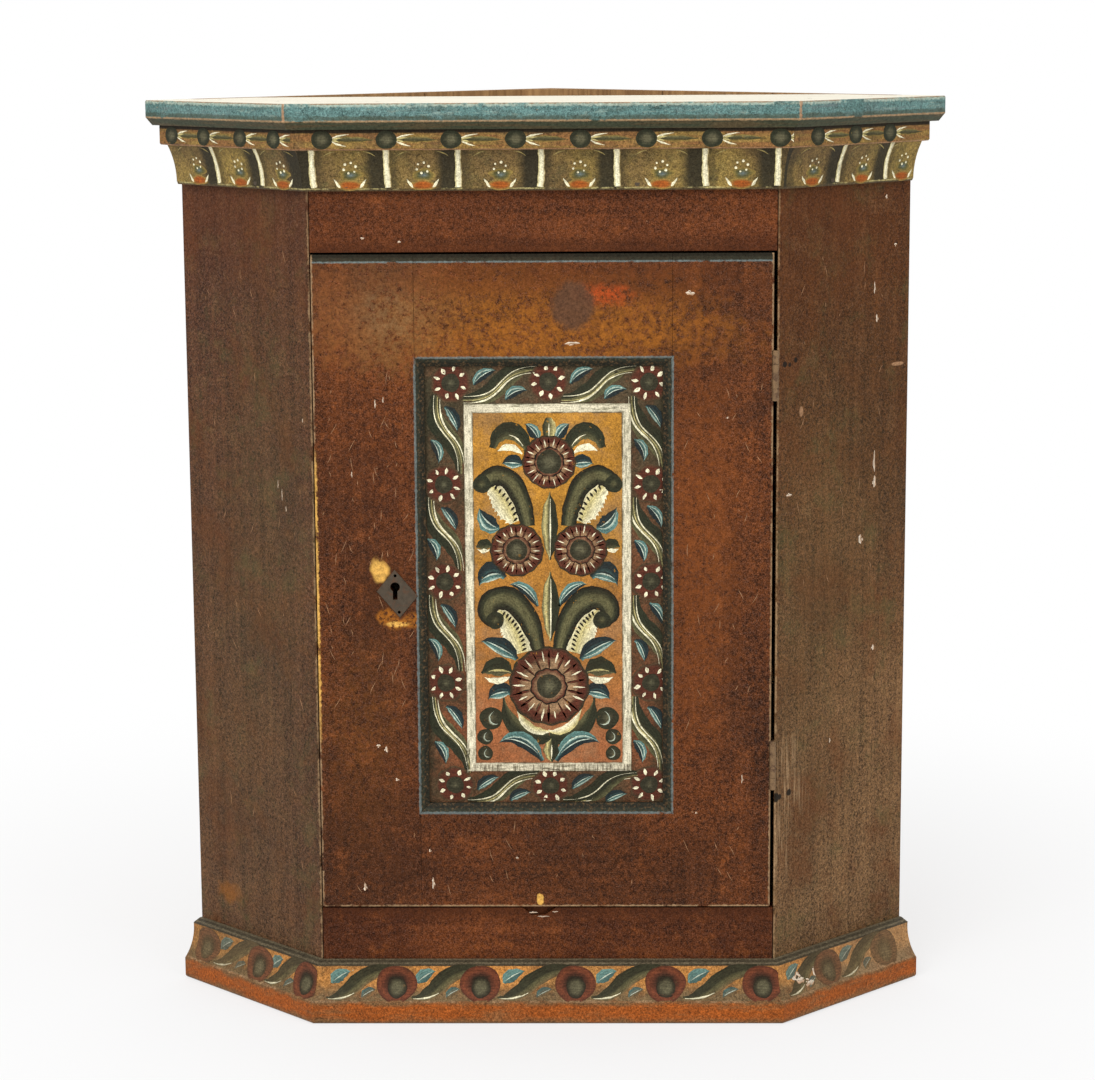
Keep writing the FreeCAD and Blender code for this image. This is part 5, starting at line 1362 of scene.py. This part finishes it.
class CABINET_OT_paint_case(bpy.types.Operator):
    """Paint the canted sides, the front rails and the top board"""

    bl_idname = "cabinet.paint_case"
    bl_label = "Paint Case"

    def execute(self, context):
        left = side_finish("left_side_paint", -1, "left_brown", "left_shade", 0.3)
        dress(left, "left_side_board", "side_board_nails")
        dress(side_finish("right_side_paint", 1, "right_brown", "right_shade", 0.95), "right_side_board")
        dress(rail_finish("top_rail_paint", DOOR_TOP, 0.5), "front_top_rail")
        dress(rail_finish("bottom_rail_paint", DOOR_BOTTOM, 0.85), "front_bottom_rail")
        dress(top_finish(), "top_board")
        return {"FINISHED"}


class CABINET_OT_paint_door(bpy.types.Operator):
    """Paint the door's frame and the grounds of its panel"""

    bl_idname = "cabinet.paint_door"
    bl_label = "Paint Door"

    def execute(self, context):
        dress(door_finish("door_stile_paint", UPRIGHT), "door_stile_left", "door_stile_right")
        dress(door_finish("door_rail_paint", LEVEL), "door_top_rail", "door_bottom_rail")
        dress(panel_finish(), "door_panel")
        return {"FINISHED"}


class CABINET_OT_paint_mouldings(bpy.types.Operator):
    """Paint the grounds of the cornice and the base moulding"""

    bl_idname = "cabinet.paint_mouldings"
    bl_label = "Paint Mouldings"

    def execute(self, context):
        for side, name in SIDE_NAMES.items():
            dress(cornice_finish(side), f"cornice_{name}")
            dress(base_finish(side), f"base_moulding_{name}", *(() if side else ("base_nails",)))
        return {"FINISHED"}


class CABINET_OT_finish_bare_wood(bpy.types.Operator):
    """Give the back boards, the inside and the pegs their bare pine"""

    bl_idname = "cabinet.finish_bare_wood"
    bl_label = "Finish Bare Wood"

    def execute(self, context):
        for name, grain, *beginnings in (
                ("back_pine", STANDING, "back_board_left", "back_board_right", "corner_post"),
                ("shelf_pine", LYING, "floor_", "ceiling_", "lower_shelf", "upper_shelf"),
                ("cleat_pine", SHORT, "lower_cleat", "upper_cleat", "door_pegs")):
            dress(pine_finish(name, grain), *nodes_like(*beginnings))
        return {"FINISHED"}


class CABINET_OT_finish_metal(bpy.types.Operator):
    """Give the nails, the lock and the hinges their metal"""

    bl_idname = "cabinet.finish_metal"
    bl_label = "Finish Metal"

    def execute(self, context):
        nails = [name for name in nodes_like("back", "cleat", "cornice", "top") if name.endswith("_nails")]
        dress(metal_finish("forged_iron", "iron", 0.5), *nodes_like("lock_", "escutcheon"), *nails)
        dress(metal_finish("hinge_metal", "steel", 0.1), *nodes_like("lower_hinge", "upper_hinge", "hinge_"))
        return {"FINISHED"}


class CABINET_OT_paint_panel_flowers(bpy.types.Operator):
    """Lay the brushwork of the panel's field and border"""

    bl_idname = "cabinet.paint_panel_flowers"
    bl_label = "Paint Panel Flowers"

    def execute(self, context):
        field = Brushwork(panel_surface, seed=3)
        paint_field(field)
        strokes = brush_finish("field_brushwork", "field_ochre", 0.8)
        field.piece("panel_field_flowers", strokes, "door", "panel_paint")
        border = Brushwork(panel_surface, seed=5)
        paint_border(border)
        strokes = brush_finish("border_brushwork", "border_brown", 0.8)
        border.piece("panel_border_vine", strokes, "door", "panel_paint")
        return {"FINISHED"}


class CABINET_OT_paint_moulding_ornament(bpy.types.Operator):
    """Lay the brushwork of the cornice and the base"""

    bl_idname = "cabinet.paint_moulding_ornament"
    bl_label = "Paint Moulding Ornament"

    def execute(self, context):
        cornice = Brushwork(None, seed=7)
        paint_cornice(cornice)
        strokes = brush_finish("cornice_strokes", "cove_olive", 0.55)
        cornice.piece("cornice_brushwork", strokes, "case", "cornice_paint")
        base = Brushwork(None, seed=11)
        paint_base(base)
        base.piece("base_brushwork", brush_finish("base_strokes", "base_brown", 0.6), "case", "base_paint")
        return {"FINISHED"}


class CABINET_OT_fill_nails(bpy.types.Operator):
    """Fill over the nail heads of the base and the sides with putty and paint"""

    bl_idname = "cabinet.fill_nails"
    bl_label = "Fill Nails"

    def execute(self, context):
        self.fill("base_putty", "base_paint_front", BASE_NAILS, fillet_out, "base_paint")
        self.fill("left_side_putty", "left_side_paint", SIDE_NAILS[:2], flat_out, "case_paint")
        self.fill("right_side_putty", "right_side_paint", SIDE_NAILS[2:], flat_out, "case_paint")
        return {"FINISHED"}

    def fill(self, name, paint, nails, out_at, slot):
        brush = Brushwork(None, seed=19)
        for run, height in nails:
            brush.surface = surface_at(run, out_at)
            brush.disc((run, height), 3.8, ("base_orange",), cells=4)
        brush.piece(name, bpy.data.materials[paint], "case", slot)


class CABINET_OT_add_flecks(bpy.types.Operator):
    """Splash the pale flecks that age left on the case and the door"""

    bl_idname = "cabinet.add_flecks"
    bl_label = "Add Flecks"

    def execute(self, context):
        flecks = brush_finish("pale_flecks", "dust", 0.3)
        case = Brushwork(None, seed=13)
        lay_flecks(case, CASE_FLECKS, lambda run: surface_at(run, flat_out))
        lay_flecks(case, BASE_FLECKS, lambda run: surface_at(run, base_out))
        lay_scratches(case, CASE_SCRATCHES, lambda run: surface_at(run, flat_out))
        case.piece("case_flecks", flecks, "case", "case_paint")
        door = Brushwork(None, seed=17)
        lay_flecks(door, DOOR_FLECKS, lambda run: door_surface)
        lay_scratches(door, DOOR_SCRATCHES, lambda run: door_surface)
        door.piece("door_flecks", flecks, "door", "door_paint")
        return {"FINISHED"}


def soft_lamp(name, place, aim, size, power):
    """A square lamp turned towards a point."""
    lamp = bpy.data.lights.new(name, "AREA")
    lamp.size = size
    lamp.energy = power
    holder = bpy.data.objects.new(name, lamp)
    holder.location = place
    holder.rotation_euler = (Vector(aim) - Vector(place)).to_track_quat("-Z", "Y").to_euler()
    bpy.context.scene.collection.objects.link(holder)


def show_white(nodes, lit, glow, share, output):
    """Lead lit into the output, with a white glow over its share for rays that look at it or mirror it."""
    rays = nodes.add("ShaderNodeLightPath")
    seen = nodes.take(rays, "Is Camera Ray").most(nodes.take(rays, "Is Glossy Ray"))
    seen = seen.most(nodes.take(rays, "Is Transmission Ray"))
    white = nodes.take(nodes.add(glow, {"Color": (1, 1, 1, 1), "Strength": 1.0}))
    blend = nodes.add("ShaderNodeMixShader", {0: seen * share, 1: lit, 2: white})
    nodes.feed(nodes.tree.nodes[output].inputs["Surface"], nodes.take(blend))


class CABINET_OT_set_stage(bpy.types.Operator):
    """Set the floor, the light and the camera"""

    bl_idname = "cabinet.set_stage"
    bl_label = "Set Stage"

    def execute(self, context):
        scene = context.scene
        settings = scene.cabinet_stage
        self.lay_floor()
        self.light_world(settings)
        soft_lamp("key lamp", place=(-1.3, -2.6, 2.7), aim=(0, 0, 0.5), size=2.4, power=settings.key)
        soft_lamp("fill lamp", place=(2.2, -2.4, 1.6), aim=(0, 0, 0.45), size=2.0, power=settings.fill)
        lens = bpy.data.cameras.new("camera")
        lens.lens = settings.lens
        lens.sensor_width = 36
        camera = bpy.data.objects.new("camera", lens)
        turn, tilt, roll = settings.turn
        camera.matrix_world = (Matrix.Translation(settings.eye) @ Matrix.Rotation(turn, 4, "Z")
                               @ Matrix.Rotation(tilt, 4, "X") @ Matrix.Rotation(roll, 4, "Z"))
        scene.collection.objects.link(camera)
        scene.camera = camera
        scene.view_settings.view_transform = "Standard"
        return {"FINISHED"}

    def lay_floor(self):
        """A pale floor that whitens away from the cabinet."""
        mesh = bmesh.new()
        bmesh.ops.create_grid(mesh, x_segments=1, y_segments=1, size=12.0)
        data = bpy.data.meshes.new("floor")
        mesh.to_mesh(data)
        mesh.free()
        floor = bpy.data.objects.new("floor", data)
        bpy.context.scene.collection.objects.link(floor)
        finish = Finish("pale_floor")
        far = finish.vector("LENGTH", finish.place).step(0.2, 1.3).scaled(0.4, 0.6)
        finish.feed(finish.shader.inputs["Base Color"], (0.9, 0.9, 0.9, 1))
        finish.feed(finish.shader.inputs["Roughness"], 0.9)
        show_white(finish, finish.take(finish.shader), "ShaderNodeEmission", far, "Material Output")
        data.materials.append(finish.material)

    def light_world(self, settings):
        """Even light all round, which looks white itself."""
        world = bpy.data.worlds.new("studio")
        bpy.context.scene.world = world
        world.use_nodes = True
        nodes = Nodes(world.node_tree)
        lit = nodes.add("ShaderNodeBackground", {"Color": (1, 1, 1, 1), "Strength": settings.sky})
        show_white(nodes, nodes.take(lit), "ShaderNodeBackground", 1.0, "World Output")


STEPS = (
    CABINET_OT_mix_paints,
    CABINET_OT_paint_case,
    CABINET_OT_paint_door,
    CABINET_OT_paint_mouldings,
    CABINET_OT_finish_bare_wood,
    CABINET_OT_finish_metal,
    CABINET_OT_paint_panel_flowers,
    CABINET_OT_paint_moulding_ornament,
    CABINET_OT_fill_nails,
    CABINET_OT_add_flecks,
    CABINET_OT_set_stage,
)
SETTINGS = {"cabinet_colours": CabinetColours, "cabinet_sizes": CabinetSizes, "cabinet_stage": CabinetStage}


class CABINET_PT_workshop(bpy.types.Panel):
    """Lists the steps that finish the cabinet"""

    bl_label = "Corner Cabinet"
    bl_idname = "CABINET_PT_workshop"
    bl_space_type = "VIEW_3D"
    bl_region_type = "UI"
    bl_category = "Cabinet"

    def draw(self, context):
        for step in STEPS:
            self.layout.operator(step.bl_idname)
        for name, group in SETTINGS.items():
            column = self.layout.column()
            for setting in group.__annotations__:
                column.prop(getattr(context.scene, name), setting)


def register():
    for group in SETTINGS.values():
        bpy.utils.register_class(group)
    for name, group in SETTINGS.items():
        setattr(bpy.types.Scene, name, PointerProperty(type=group))
    for item in (*STEPS, CABINET_PT_workshop):
        bpy.utils.register_class(item)


def unregister():
    for item in (CABINET_PT_workshop, *reversed(STEPS)):
        bpy.utils.unregister_class(item)
    for name, group in reversed(SETTINGS.items()):
        delattr(bpy.types.Scene, name)
        bpy.utils.unregister_class(group)


def main():
    register()
    for step in STEPS:
        family, name = step.bl_idname.split(".")
        getattr(getattr(bpy.ops, family), name)()


if __name__ == "__main__":
    main()
